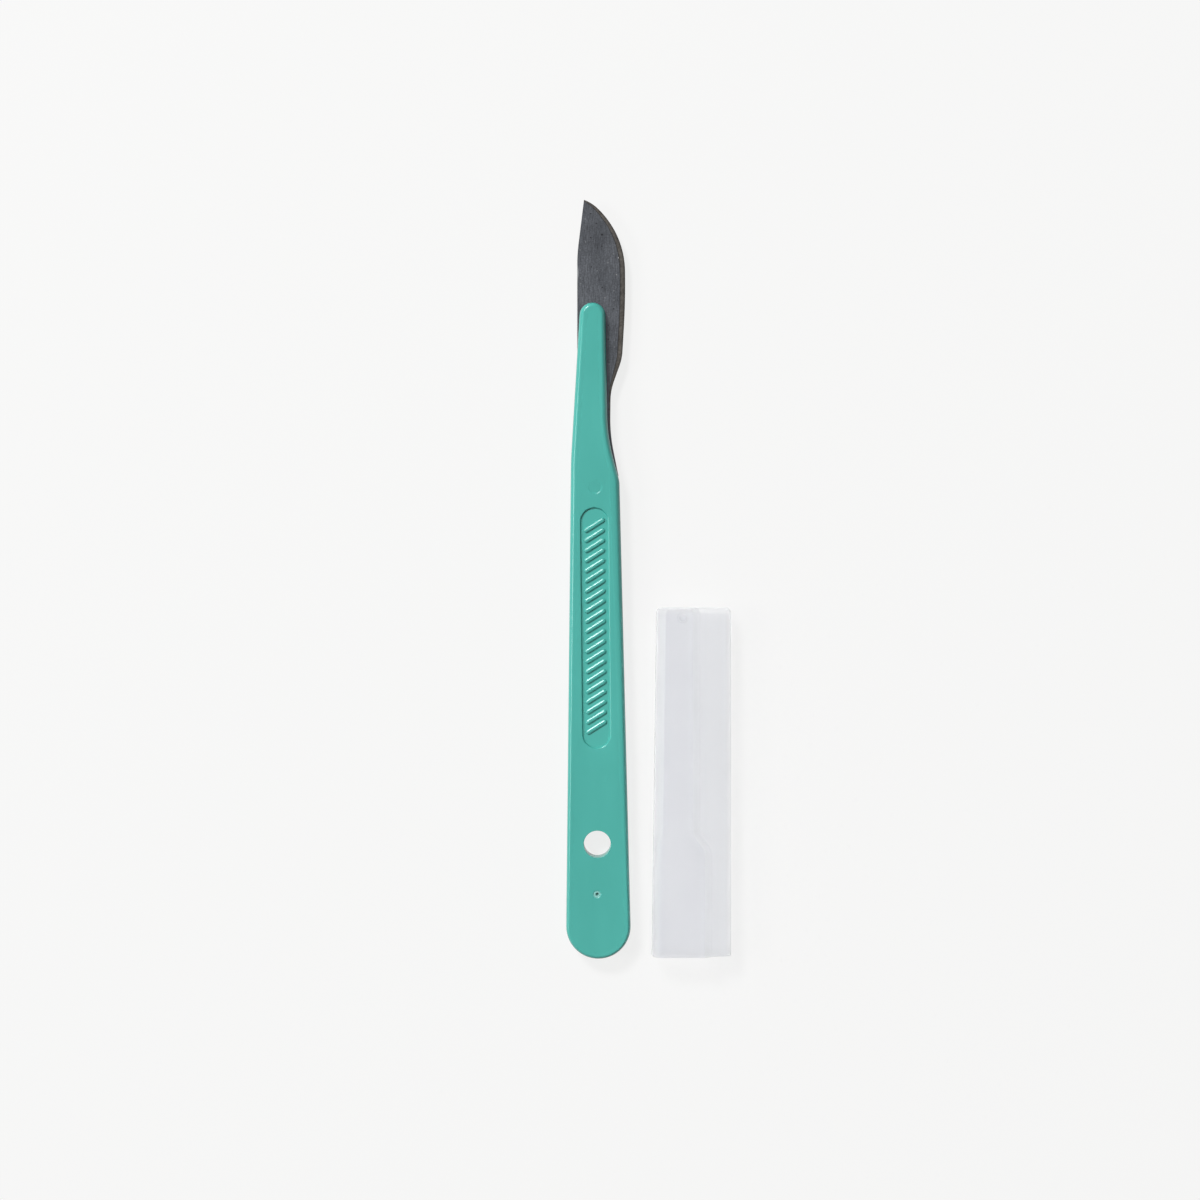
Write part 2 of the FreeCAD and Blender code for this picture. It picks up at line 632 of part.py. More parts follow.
def outer_channel(left, right, wide, cut="0"):
    """Outer section of the channel. Left and right are the inner side walls, cut insets it."""
    face = f"{outer_face} - {cut}"
    reach = f"({size('cover_slope')} * ({outer_face} - {side_top}) - {slant_wall})"
    foot = f"({size('cover_slope')} * ({outer_face} - {size('cover_foot')}))"
    right_face = f"{right} + {size('cover_fit')} - {reach}"
    if wide:
        left_foot = f"{left} - {size('cover_fit')} - {size('cover_side_wall')}"
        left_face = f"{left_foot} + {size('cover_round_lean')}"
    else:
        left_face = f"{left} - {size('cover_fit')} + {reach}"
        left_foot = f"{left_face} - {foot}"
    left_round = size("cover_round") if wide else size("cover_crease")
    front = [
        corner(f"{left_foot} + {cut}", f"{size('cover_foot')} - {cut}"),
        corner(f"{left_face} + {cut}", face, left_round),
        corner(f"{right_face} - {cut}", face, size("cover_crease")),
        corner(f"{right_face} + {foot} - {cut}", f"{size('cover_foot')} - {cut}"),
    ]
    return mirror_section(front)


def inner_channel(left, right):
    """Inner section of the channel, the shape of the handle's section with a clearance."""
    left_side = f"{left} - {size('cover_fit')}"
    right_side = f"{right} + {size('cover_fit')}"
    front = [
        corner(left_side, side_top),
        corner(f"{left_side} + {size('cover_bevel')}", inner_face),
        corner(f"{right_side} - {size('cover_bevel')}", inner_face),
        corner(right_side, side_top),
    ]
    return mirror_section(front)


pocket_right = f"({size('blade_belly_x')} + {size('pocket_room')})"
pocket_inner = f"({blade_face} + {size('pocket_gap')})"
pocket_outer = f"({pocket_inner} + {size('cover_face_wall')})"


def pocket_section(y, wall, half, radius, cut="0"):
    """Section of the blade pocket, a flat box with rounded corners."""
    left = f"{drawn_in(body_left, y)} - {size('cover_fit')} - {wall} + {cut}"
    right = f"{pocket_right} + {wall} - {cut}"
    front = [corner(left, f"{half} - {cut}", radius), corner(right, f"{half} - {cut}", radius)]
    return mirror_section(front)


cover = new_body("blade_cover")


def cover_section(name, y, stations):
    return outline_sketch(cover, name, stations, "XZ_Plane", f"-({y})")


step_low = size("cover_step")
step_high = f"({size('cover_step')} + {size('cover_step_length')})"
cut = size("cover_end_bevel")
wall = size("cover_side_wall")
low_left = drawn_in(body_left, step_low)
bevel_left = drawn_in(neck_left, end_bevel_y, step_high)
end_left = drawn_in(neck_left, end_y, step_high)
outer_sections = [
    cover_section("channel_mouth", "0", outer_channel(body_left, body_right, True)),
    cover_section("channel_step_low", step_low, outer_channel(low_left, body_right, True)),
    cover_section("channel_step_high", step_high, outer_channel(neck_left, neck_right, False)),
    cover_section("channel_top", end_bevel_y, outer_channel(bevel_left, neck_right, False)),
    cover_section("channel_end", end_y, outer_channel(end_left, neck_right, False, cut)),
]
loft(cover, "Additive", "channel", outer_sections)

pocket_round = size("pocket_round")
pocket_sections = [
    cover_section("pocket_mouth", "0", pocket_section("0", wall, pocket_outer, pocket_round)),
    cover_section("pocket_top", end_bevel_y, pocket_section(end_bevel_y, wall, pocket_outer, pocket_round)),
    cover_section("pocket_end", end_y, pocket_section(end_y, wall, pocket_outer, pocket_round, cut)),
]
loft(cover, "Additive", "pocket", pocket_sections)

inner_left = drawn_in(neck_left, end_inner_y, step_high)
inner_sections = [
    cover_section("channel_inner_mouth", "0", inner_channel(body_left, body_right)),
    cover_section("channel_inner_low", step_low, inner_channel(low_left, body_right)),
    cover_section("channel_inner_high", step_high, inner_channel(neck_left, neck_right)),
    cover_section("channel_inner_end", end_inner_y, inner_channel(inner_left, neck_right)),
]
loft(cover, "Subtractive", "channel_hollow", inner_sections)

inner_pocket_sections = [
    cover_section("pocket_inner_mouth", "0", pocket_section("0", "0", pocket_inner, None)),
    cover_section("pocket_inner_end", end_inner_y, pocket_section(end_inner_y, "0", pocket_inner, None)),
]
loft(cover, "Subtractive", "pocket_hollow", inner_pocket_sections)

cover_gate_y = f"{size('cover_length')} - {size('cover_gate_drop')}"
cover_gate = circle_sketch(
    cover, "cover_gate_plan", size("cover_gate_x"), cover_gate_y, size("cover_gate_radius"), outer_face
)
prism(cover, "Pocket", "cover_gate_mark", cover_gate, size("cover_gate_depth"))

cover_left = f"({body_left} - {size('cover_fit')} - {wall})"
cover.setExpression("Placement.Rotation.Angle", f"-{size('cover_turn')} * 1 deg")
cover.setExpression(
    "Placement.Base.x",
    f"{size('tail_x')} + {size('tail_radius')} + {size('cover_aside')} - {cover_left}",
)
cover.setExpression(
    "Placement.Base.y",
    f"{size('cover_up')} - {size('tail_drop')} - {size('tail_radius')}",
)
cover.setExpression("Placement.Base.z", outer_face)

doc.recompute()

failed = [item.Name for item in doc.Objects if "Invalid" in item.State or "Error" in item.State]
if failed:
    raise RuntimeError("not built: " + ", ".join(failed))
os.makedirs("parts", exist_ok=True)
for piece in (handle, blade, cover):
    if piece.Shape.isNull() or not piece.Shape.isValid():
        raise RuntimeError(f"{piece.Label} has no valid shape")
    print(piece.Label, "solids", len(piece.Shape.Solids), "volume", round(piece.Shape.Volume, 2))
    piece.Shape.exportStep(f"parts/{piece.Label}.step")
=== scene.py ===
# %% [markdown]
# # A disposable scalpel and its blade cover
#
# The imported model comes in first, and every piece made here stands exactly where its solid
# stands. Sizes are written in millimetres, as on a drawing, and are turned into metres where a
# mesh is made.

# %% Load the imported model
import math

import bmesh
import bpy
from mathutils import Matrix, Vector


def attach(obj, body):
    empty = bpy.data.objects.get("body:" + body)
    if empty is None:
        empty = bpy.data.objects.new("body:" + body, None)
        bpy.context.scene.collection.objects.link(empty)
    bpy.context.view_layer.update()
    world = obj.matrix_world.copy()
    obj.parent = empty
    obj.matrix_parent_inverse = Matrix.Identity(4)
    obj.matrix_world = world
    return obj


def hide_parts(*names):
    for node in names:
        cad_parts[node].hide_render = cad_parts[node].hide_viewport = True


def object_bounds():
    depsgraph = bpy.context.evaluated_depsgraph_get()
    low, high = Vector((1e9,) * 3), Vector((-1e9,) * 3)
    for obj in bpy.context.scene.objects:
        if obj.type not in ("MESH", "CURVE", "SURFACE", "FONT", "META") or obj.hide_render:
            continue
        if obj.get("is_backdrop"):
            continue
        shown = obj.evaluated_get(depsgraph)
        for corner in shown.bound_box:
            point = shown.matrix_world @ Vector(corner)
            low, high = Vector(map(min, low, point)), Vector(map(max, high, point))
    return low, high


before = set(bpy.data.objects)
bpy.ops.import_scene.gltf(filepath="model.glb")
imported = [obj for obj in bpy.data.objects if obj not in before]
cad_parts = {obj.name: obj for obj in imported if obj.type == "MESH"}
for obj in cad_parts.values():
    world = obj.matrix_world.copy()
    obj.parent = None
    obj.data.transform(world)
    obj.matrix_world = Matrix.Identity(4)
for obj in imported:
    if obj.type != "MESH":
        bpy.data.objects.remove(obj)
cad_low, cad_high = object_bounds()
MM = 0.001
cad_size = [round((high - low) / MM, 1) for low, high in zip(cad_low, cad_high)]
print("nodes", sorted(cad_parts), "box in mm", cad_size)

# %% [markdown]
# ## Outlines made of straight runs and arcs
#
# Moulds and punches are cut to outlines of lines and arcs that meet without a kink. One way to
# get them is to draw many points by hand. Here an outline is a short list of stations instead: a
# corner with the radius that rounds it, or a disc that the line wraps round. The helper always
# gives the same number of points for the same kinds of station, so two outlines at different
# heights can be joined point to point.

# %% Straight runs between stations


def touch(centre, radius, point, leaving):
    """Where a line between a point and a disc touches it, with the disc on the line's left."""
    reach = point - centre
    lean = math.acos(radius / reach.length)
    middle = math.atan2(reach.y, reach.x)
    angle = middle - lean if leaving else middle + lean
    return centre + Vector((math.cos(angle), math.sin(angle))) * radius


def runs_of(stations):
    """Start and end of the straight run from each station to the next."""
    runs = []
    for (kind, x, y, r), (next_kind, nx, ny, nr) in zip(stations, stations[1:] + stations[:1]):
        a, b = Vector((x, y)), Vector((nx, ny))
        start = touch(a, r, b, True) if kind == "disc" else a
        end = touch(b, nr, a, False) if next_kind == "disc" else b
        runs.append((start, end))
    return runs


def ways_at(runs, i):
    """Directions in which the outline arrives at station i and leaves it."""
    return (runs[i - 1][1] - runs[i - 1][0]).normalized(), (runs[i][1] - runs[i][0]).normalized()


def turn_between(into, out):
    """Angle from one direction to another, positive to the left."""
    return math.atan2(into.x * out.y - into.y * out.x, into.dot(out))


# %% Points of a whole outline
MOST_OF_RUN = 0.985  # the part of a straight run that the roundings at its ends may take


def roundings(stations, runs):
    """How much each rounding cuts off its runs, and the share of it for which there is room."""
    cuts = []
    for i, (kind, x, y, r) in enumerate(stations):
        half_turn = turn_between(*ways_at(runs, i)) / 2
        cuts.append(0 if kind == "disc" else r * abs(math.tan(half_turn)))
    shares = [1.0] * len(stations)
    for i, (start, end) in enumerate(runs):
        j = (i + 1) % len(stations)
        room = MOST_OF_RUN * (end - start).length
        if cuts[i] + cuts[j] > room:
            shares[i] = min(shares[i], room / (cuts[i] + cuts[j]))
            shares[j] = min(shares[j], room / (cuts[i] + cuts[j]))
    return cuts, shares


def outline(stations, arc=16, run=6):
    """Points of a closed outline, counter-clockwise, in millimetres."""
    runs = runs_of(stations)
    cuts, shares = roundings(stations, runs)
    pieces = []
    for i, (kind, x, y, r) in enumerate(stations):
        place = Vector((x, y))
        into, out = ways_at(runs, i)
        if kind == "disc":
            centre, first, last = place, runs[i - 1][1], runs[i][0]
            a, b = first - centre, last - centre
            sweep = math.atan2(a.x * b.y - a.y * b.x, a.dot(b)) % (2 * math.pi)
        elif r == 0:
            pieces.append([place])
            continue
        else:
            turn = turn_between(into, out)
            cut = cuts[i] * shares[i]
            first = place - into * cut
            radius = r * shares[i] * (1 if turn > 0 else -1)
            centre = first + Vector((-into.y, into.x)) * radius
            sweep = turn
        arm = first - centre
        pieces.append([])
        for k in range(arc + 1):
            c, s = math.cos(sweep * k / arc), math.sin(sweep * k / arc)
            pieces[-1].append(centre + Vector((arm.x * c - arm.y * s, arm.x * s + arm.y * c)))
    points = []
    for piece, following in zip(pieces, pieces[1:] + pieces[:1]):
        points += piece
        points += [piece[-1].lerp(following[0], k / run) for k in range(1, run)]
    return points


def corner(x, y, r=0.0):
    return ("corner", x, y, r)


def disc(x, y, r):
    return ("disc", x, y, r)


def arc_points(x, y, r, start, sweep, steps):
    """Points of an arc, with both of its ends."""
    angles = [start + sweep * k / steps for k in range(steps + 1)]
    return [Vector((x + r * math.cos(a), y + r * math.sin(a))) for a in angles]


def ring(x, y, r, steps):
    return arc_points(x, y, r, 0.0, 2 * math.pi, steps)[:-1]


# %% [markdown]
# ## A mesh from stacked outlines
#
# A moulded or ground piece can be read as a stack of outlines, each at its own height: close
# together where the edge is round, far apart on a flat wall. Joining them gives an even mesh
# whose rounding can be tuned in one place, which a bevel over a boolean would not. Flat faces
# are filled between their outer outline and the outlines of their hollows.

# %% Mesh helper
SHARP_ANGLE = 38


def add_loop(bm, points, z):
    return [bm.verts.new((p.x * MM, p.y * MM, z * MM)) for p in points]


def join(bm, low, high):
    """Quads between two loops with the same number of points."""
    faces = []
    for k in range(len(low)):
        j = (k + 1) % len(low)
        faces.append(bm.faces.new((low[k], low[j], high[j], high[k])))
    return faces


def fill(bm, *loops):
    """Flat faces inside the first loop and outside the others."""
    edges = []
    for loop in loops:
        for k in range(len(loop)):
            pair = (loop[k], loop[(k + 1) % len(loop)])
            edges.append(bm.edges.get(pair) or bm.edges.new(pair))
    bmesh.ops.triangle_fill(bm, use_beauty=True, use_dissolve=False, edges=edges)


def stack(bm, levels):
    """Join a list of (points, height) in order and give back the loops."""
    loops = [add_loop(bm, points, z) for points, z in levels]
    for low, high in zip(loops, loops[1:]):
        join(bm, low, high)
    return loops


def report(name, mesh):
    """Print how many faces a mesh has and whether it is closed."""
    test = bmesh.new()
    test.from_mesh(mesh)
    open_edges = sum(1 for e in test.edges if not e.is_manifold)
    test.free()
    print(name, "faces", len(mesh.polygons), "open edges", open_edges)


def finish_mesh(bm, name, angle=SHARP_ANGLE, doubles=1e-7):
    """Make an object of the mesh, with normals outwards and edges sharp above an angle."""
    bmesh.ops.remove_doubles(bm, verts=bm.verts, dist=doubles)
    bmesh.ops.recalc_face_normals(bm, faces=bm.faces)
    mesh = bpy.data.meshes.new(name)
    bm.to_mesh(mesh)
    bm.free()
    mesh.shade_smooth()
    mesh.set_sharp_from_angle(angle=math.radians(angle))
    piece = bpy.data.objects.new(name, mesh)
    bpy.context.scene.collection.objects.link(piece)
    report(name, mesh)
    return piece


# %% [markdown]
# ## The handle
#
# The real handle is one moulding. Its plan tapers from a round tail to a long round-ended neck,
# with a shoulder on the side of the cutting edge. Every edge is rounded, and from the shoulder
# down a very low facet lies between that rounding and the flat face, which shows as a thin line
# of light. The stack of outlines below follows both.

# %% Plan of the handle at any depth of its rounded edge
THICK = 4.8
MIDDLE = THICK / 2
RISE = 1.4  # height of the rounded edge
LIP_DROP = 0.03  # the flat face lies this far below the rounding's top
FACE = MIDDLE - LIP_DROP
WALL_LEVEL = 0.5  # height of one more outline on the straight side wall
FACET_DROP = 0.05  # the facet starts this far below the rounding's top
FACET_ANGLE = math.asin(1 - FACET_DROP / RISE)
PLAN_ARC = 28  # steps in each rounding of the plan


def handle_plan(inward, facet=0.0, lip=0.0):
    """The outline moved in by shares of the rounding, the shoulder's facet and the lip."""
    at_shoulder = min(inward, 1 - math.cos(FACET_ANGLE)) + math.cos(FACET_ANGLE) * facet
    shoulder_x = 1.3 * at_shoulder + 0.8 * facet + 0.07 * lip
    return [
        disc(0.05, -16.55, 6.45 - 0.65 * inward - 0.4 * lip),
        corner(5.2 - shoulder_x, 72.4 + 0.9 * at_shoulder + 1.5 * facet, 5.0),
        corner(2.93 - 1.15 * inward - 0.3 * lip, 81.1 + 0.75 * inward, 36.0),
        disc(0.145, 105.6, 2.6 - 0.95 * inward - 0.4 * lip),
        corner(-4.47 + 0.95 * inward + 0.4 * lip, 76.85, 90.0),
    ]


def plan_points(*shares):
    return outline(handle_plan(*shares), PLAN_ARC)


def edge_height(angle):
    """Height above the middle on the rounded edge, which rises by RISE."""
    return MIDDLE - RISE + RISE * math.sin(angle)


def edge_levels(steps=8, last_steps=3):
    """Outlines and heights from the middle of the side up to the flat face."""
    levels = [(plan_points(0.0), 0.0), (plan_points(0.0), WALL_LEVEL)]
    for k in range(steps + 1):
        angle = FACET_ANGLE * k / steps
        levels.append((plan_points(1 - math.cos(angle)), edge_height(angle)))
    for k in range(1, last_steps + 1):
        angle = FACET_ANGLE + (math.pi / 2 - FACET_ANGLE) * k / last_steps
        facet = (math.sin(angle) - math.sin(FACET_ANGLE)) / (1 - math.sin(FACET_ANGLE))
        levels.append((plan_points(1 - math.cos(angle), facet), edge_height(angle)))
    return levels + [(plan_points(1.0, 1.0, lip), FACE) for lip in (1.0, 1.6)]


crown = edge_levels()
print("handle plan points", len(crown[0][0]), "levels", len(crown))

# %% [markdown]
# ## Hollows of the handle
#
# The grip recess, the hanging hole, the gate's dimple and the marks of two ejector pins are all
# hollows that start from the flat face. Each is a short stack going down, with small radii at
# its rim and foot, because a sharp rim would give no line of light. A boolean would cut them
# too, but leaves those rims sharp.

# %% Hollows
RECESS_LOW, RECESS_HIGH, RECESS_X, RECESS_R, RECESS_DEPTH = 21.9, 64.35, 0.08, 2.85, 0.45
HOLE_R = 2.7  # the hanging hole's centre is the origin
GATE = (-0.16, -10.0)
PIN_MARKS = [(0.28, 71.2, 0.06, 0.055), (0.68, 13.6, 0.014, 0.01)]  # x, y, depth, its lean
PIN_R, DEEPEST = 1.4, (0.5, -0.866)


def slot_outline(x, low, high, r, arc=20, run=24):
    return outline([disc(x, low, r), disc(x, high, r)], arc, run)


def recess_levels():
    """Rim, sloping wall and floor of the grip recess, as outline and depth."""
    profile = [(0.14, 0.0), (0.08, 0.006), (0.0, 0.04), (-0.03, 0.06), (-0.06, 0.12)]
    profile += [(-0.14, 0.36), (-0.18, 0.41), (-0.25, 0.42), (-0.4, 0.42)]
    levels = []
    for out, down in profile:
        points = slot_outline(RECESS_X, RECESS_LOW, RECESS_HIGH, RECESS_R + out)
        levels.append((points, FACE - down))
    return levels


def hole_levels():
    """The hanging hole's rim and wall down to the middle of the thickness."""
    profile = [(0.14, 0.0), (0.05, 0.0), (0.015, 0.02), (0.0, 0.06), (0.0, MIDDLE)]
    return [(ring(0, 0, HOLE_R + out, 72), FACE - min(down, FACE)) for out, down in profile]


def gate_levels():
    """The gate's dimple with a torn pit in its middle."""
    profile = [(0.9, 0.0), (0.8, 0.0), (0.74, 0.02), (0.66, 0.07), (0.58, 0.07)]
    profile += [(0.46, 0.03), (0.4, 0.03), (0.34, 0.09), (0.28, 0.5), (0.1, 0.53)]
    return [(ring(*GATE, r, 32), FACE - down) for r, down in profile]


def pin_levels(x, y):
    """A round mark of an ejector pin. Its depth is a share, which slanted turns into a slant."""
    profile = [(1.55, 0.0), (1.45, 0.0), (1.38, 0.12), (1.2, 0.85), (1.12, 1.0), (1.0, 1.0)]
    return [(ring(x, y, r, 40), FACE - share) for r, share in profile]


def slanted(loops, x, y, depth, lean):
    """Set a pin mark's depth, which grows along DEEPEST, a direction in the plan."""
    for vert in (v for loop in loops for v in loop):
        share = MIDDLE + FACE - vert.co.z / MM
        offset = (vert.co.x / MM - x, vert.co.y / MM - y)
        across = (offset[0] * DEEPEST[0] + offset[1] * DEEPEST[1]) / PIN_R
        vert.co.z = (MIDDLE + FACE - share * (depth + lean * across)) * MM


def half_handle(bm, front):
    """One half of the handle, from the middle of its thickness to one face."""
    side = 1 if front else -1

    def stack_here(levels):
        return stack(bm, [(points, MIDDLE + side * z) for points, z in levels])

    outer = stack_here(crown)
    recess = stack_here(recess_levels())
    fill(bm, recess[-1])
    rims = [recess[0], stack_here(hole_levels())[0]]
    if front:
        dimple = stack_here(gate_levels())
        fill(bm, dimple[-1])
        rims.append(dimple[0])
        for x, y, depth, lean in PIN_MARKS:
            mark = stack_here(pin_levels(x, y))
            slanted(mark, x, y, depth, lean)
            fill(bm, mark[-1])
            rims.append(mark[0])
    fill(bm, outer[-1], *rims)


shell = bmesh.new()
half_handle(shell, True)
half_handle(shell, False)
handle = finish_mesh(shell, "handle_moulding")

# %% [markdown]
# ## The slot for the blade
#
# The neck is split, with the blade between its halves, and a boss passes through the keyhole in
# the tang. The slot cuts across the side wall only, away from every rounded rim, so here a
# boolean is the simple way: a flat cutter with the boss left out of it.

# %% Outline of the keyhole
KEYHOLE = (0.15, 80.2, 93.0, 1.25, 1.95)


def keyhole_outline(x, low, high, r, eye, shift=0.0):
    """Outline of the tang's slot, with its wide round end, of radius eye, below."""
    r, eye = r + shift, eye + shift
    rise = math.sqrt(eye * eye - r * r)
    start = math.atan2(rise, -r)
    sweep = 2 * math.pi - 2 * (math.pi / 2 - math.atan2(rise, r))
    wide_end = arc_points(x, low, eye, start, sweep, 32)
    return wide_end + arc_points(x, high, r, 0.0, math.pi, 16)


def straight_wall(bm, points, half):
    """A wall that reaches half up and half down from the middle of the thickness."""
    return stack(bm, [(points, MIDDLE - half), (points, MIDDLE + half)])


# %% Helpers for cutting


def apply_modifiers(piece):
    """Replace a piece's mesh by what its modifiers make of it."""
    bpy.context.view_layer.update()
    graph = bpy.context.evaluated_depsgraph_get()
    made = bpy.data.meshes.new_from_object(piece.evaluated_get(graph), depsgraph=graph)
    piece.modifiers.clear()
    old = piece.data
    made.name = old.name
    piece.data = made
    bpy.data.meshes.remove(old)


def cut_out(piece, cutter, angle=SHARP_ANGLE):
    """Cut one piece out of another and drop the cutter."""
    cut = piece.modifiers.new("cut", "BOOLEAN")
    cut.object = cutter
    cut.operation = "DIFFERENCE"
    cut.solver = "EXACT"
    apply_modifiers(piece)
    bpy.data.objects.remove(cutter)
    piece.data.set_sharp_from_angle(angle=math.radians(angle))
    report(piece.name, piece.data)


# %% Cut the slot
SLOT_HALF, BOSS_SHIFT = 0.23, -0.08
SLOT_PLAN = [(-3.28, 76.92), (5.02, 73.42), (12.0, 73.42), (12.0, 112.0), (-2.92, 112.0)]
cutter_mesh = bmesh.new()
slot_loops = straight_wall(cutter_mesh, [Vector(point) for point in SLOT_PLAN], SLOT_HALF)
boss_plan = keyhole_outline(*KEYHOLE, shift=BOSS_SHIFT)
boss_loops = straight_wall(cutter_mesh, boss_plan, SLOT_HALF)
for slot_loop, boss_loop in zip(slot_loops, boss_loops):
    fill(cutter_mesh, slot_loop, boss_loop)
cut_out(handle, finish_mesh(cutter_mesh, "slot_cutter"))

# %% [markdown]
# ## The ribs of the grip
#
# Each face has a row of slanted ribs in its recess. They are one shape repeated at one pitch,
# which is what Geometry Nodes are for: a line of points, an instance of one rib on each, and a
# mirrored row for the back. The first rib is a small stack of outlines, so its top edge is
# round and catches the light.

# %% One rib
RIB_COUNT, RIB_LOW, RIB_PITCH, RIB_ANGLE = 21, 23.35, 2.013, 31.5
RIB_REACH, RIB_SHARP = 1.9, 60
FLOOR = MIDDLE - RECESS_DEPTH


def rib_levels():
    """A steep flank, a facet that slopes up and a narrow round crest, as half width and height."""
    profile = [(0.53, -0.03), (0.5, 0.0), (0.47, 0.06), (0.44, 0.16), (0.42, 0.222)]
    profile += [(0.405, 0.248), (0.385, 0.262), (0.23, 0.33), (0.2, 0.342)]
    profile += [(0.15, 0.352), (0.08, 0.357), (0.03, 0.358)]
    levels = []
    for r, height in profile:
        levels.append((slot_outline(0, -RIB_REACH, RIB_REACH, r, arc=10, run=2), height))
    return levels


rib_mesh = bmesh.new()
rib_loops = stack(rib_mesh, rib_levels())
fill(rib_mesh, rib_loops[-1])
fill(rib_mesh, rib_loops[0])
ribs = finish_mesh(rib_mesh, "grip_ribs", RIB_SHARP)

# %% Tree that repeats the rib
ROW_INPUTS = {
    "Rib": "Geometry",
    "Count": "Int",
    "Pitch": "Float",
    "First": "Vector",
    "Angle": "Float",
    "Middle": "Float",
}


def repeat_tree(material):
    """A tree that sets the mesh it is given in a row on both faces."""
    tree = bpy.data.node_groups.new("rib_rows", "GeometryNodeTree")
    socket = tree.interface.new_socket
    for name, kind in ROW_INPUTS.items():
        socket(name=name, in_out="INPUT", socket_type="NodeSocket" + kind)
    socket(name="Rows", in_out="OUTPUT", socket_type="NodeSocketGeometry")
    node, link = tree.nodes.new, tree.links.new
    given, result = node("NodeGroupInput"), node("NodeGroupOutput")
    step = node("ShaderNodeCombineXYZ")
    link(given.outputs["Pitch"], step.inputs["Y"])
    line = node("GeometryNodeMeshLine")
    link(given.outputs["Count"], line.inputs["Count"])
    link(given.outputs["First"], line.inputs["Start Location"])
    link(step.outputs["Vector"], line.inputs["Offset"])
    slant = node("ShaderNodeCombineXYZ")
    link(given.outputs["Angle"], slant.inputs["Z"])
    copies = node("GeometryNodeInstanceOnPoints")
    link(line.outputs["Mesh"], copies.inputs["Points"])
    link(given.outputs["Rib"], copies.inputs["Instance"])
    link(slant.outputs["Vector"], copies.inputs["Rotation"])
    real = node("GeometryNodeRealizeInstances")
    link(copies.outputs["Instances"], real.inputs["Geometry"])

    # The back row is the front one mirrored in the plane of the middle: z turns into 2 middle - z
    place = node("GeometryNodeInputPosition")
    twice = node("ShaderNodeMath")
    twice.operation = "MULTIPLY"
    twice.inputs[1].default_value = 2.0
    link(given.outputs["Middle"], twice.inputs[0])
    lift = node("ShaderNodeCombineXYZ")
    link(twice.outputs["Value"], lift.inputs["Z"])
    flip = node("ShaderNodeVectorMath")
    flip.operation = "MULTIPLY_ADD"
    flip.inputs[1].default_value = (1, 1, -1)
    link(place.outputs["Position"], flip.inputs[0])
    link(lift.outputs["Vector"], flip.inputs[2])
    back = node("GeometryNodeSetPosition")
    link(real.outputs["Geometry"], back.inputs["Geometry"])
    link(flip.outputs["Vector"], back.inputs["Position"])
    turned = node("GeometryNodeFlipFaces")
    link(back.outputs["Geometry"], turned.inputs["Mesh"])
    both = node("GeometryNodeJoinGeometry")
    link(real.outputs["Geometry"], both.inputs["Geometry"])
    link(turned.outputs["Mesh"], both.inputs["Geometry"])
    whole = node("GeometryNodeRealizeInstances")
    link(both.outputs["Geometry"], whole.inputs["Geometry"])
    finish = node("GeometryNodeSetMaterial")
    finish.inputs["Material"].default_value = material
    link(whole.outputs["Geometry"], finish.inputs["Geometry"])
    link(finish.outputs["Geometry"], result.inputs["Rows"])
    return tree


# %% [markdown]
# ## Materials
#
# Each finish is a small node tree on Object coordinates, in which one unit is a metre. Colour,
# roughness and bump vary a little at the scale of the real surface: flow marks in the moulding,
# grinding lines and pits on the steel, a blasted grain on the cover.

# %% Helpers for materials


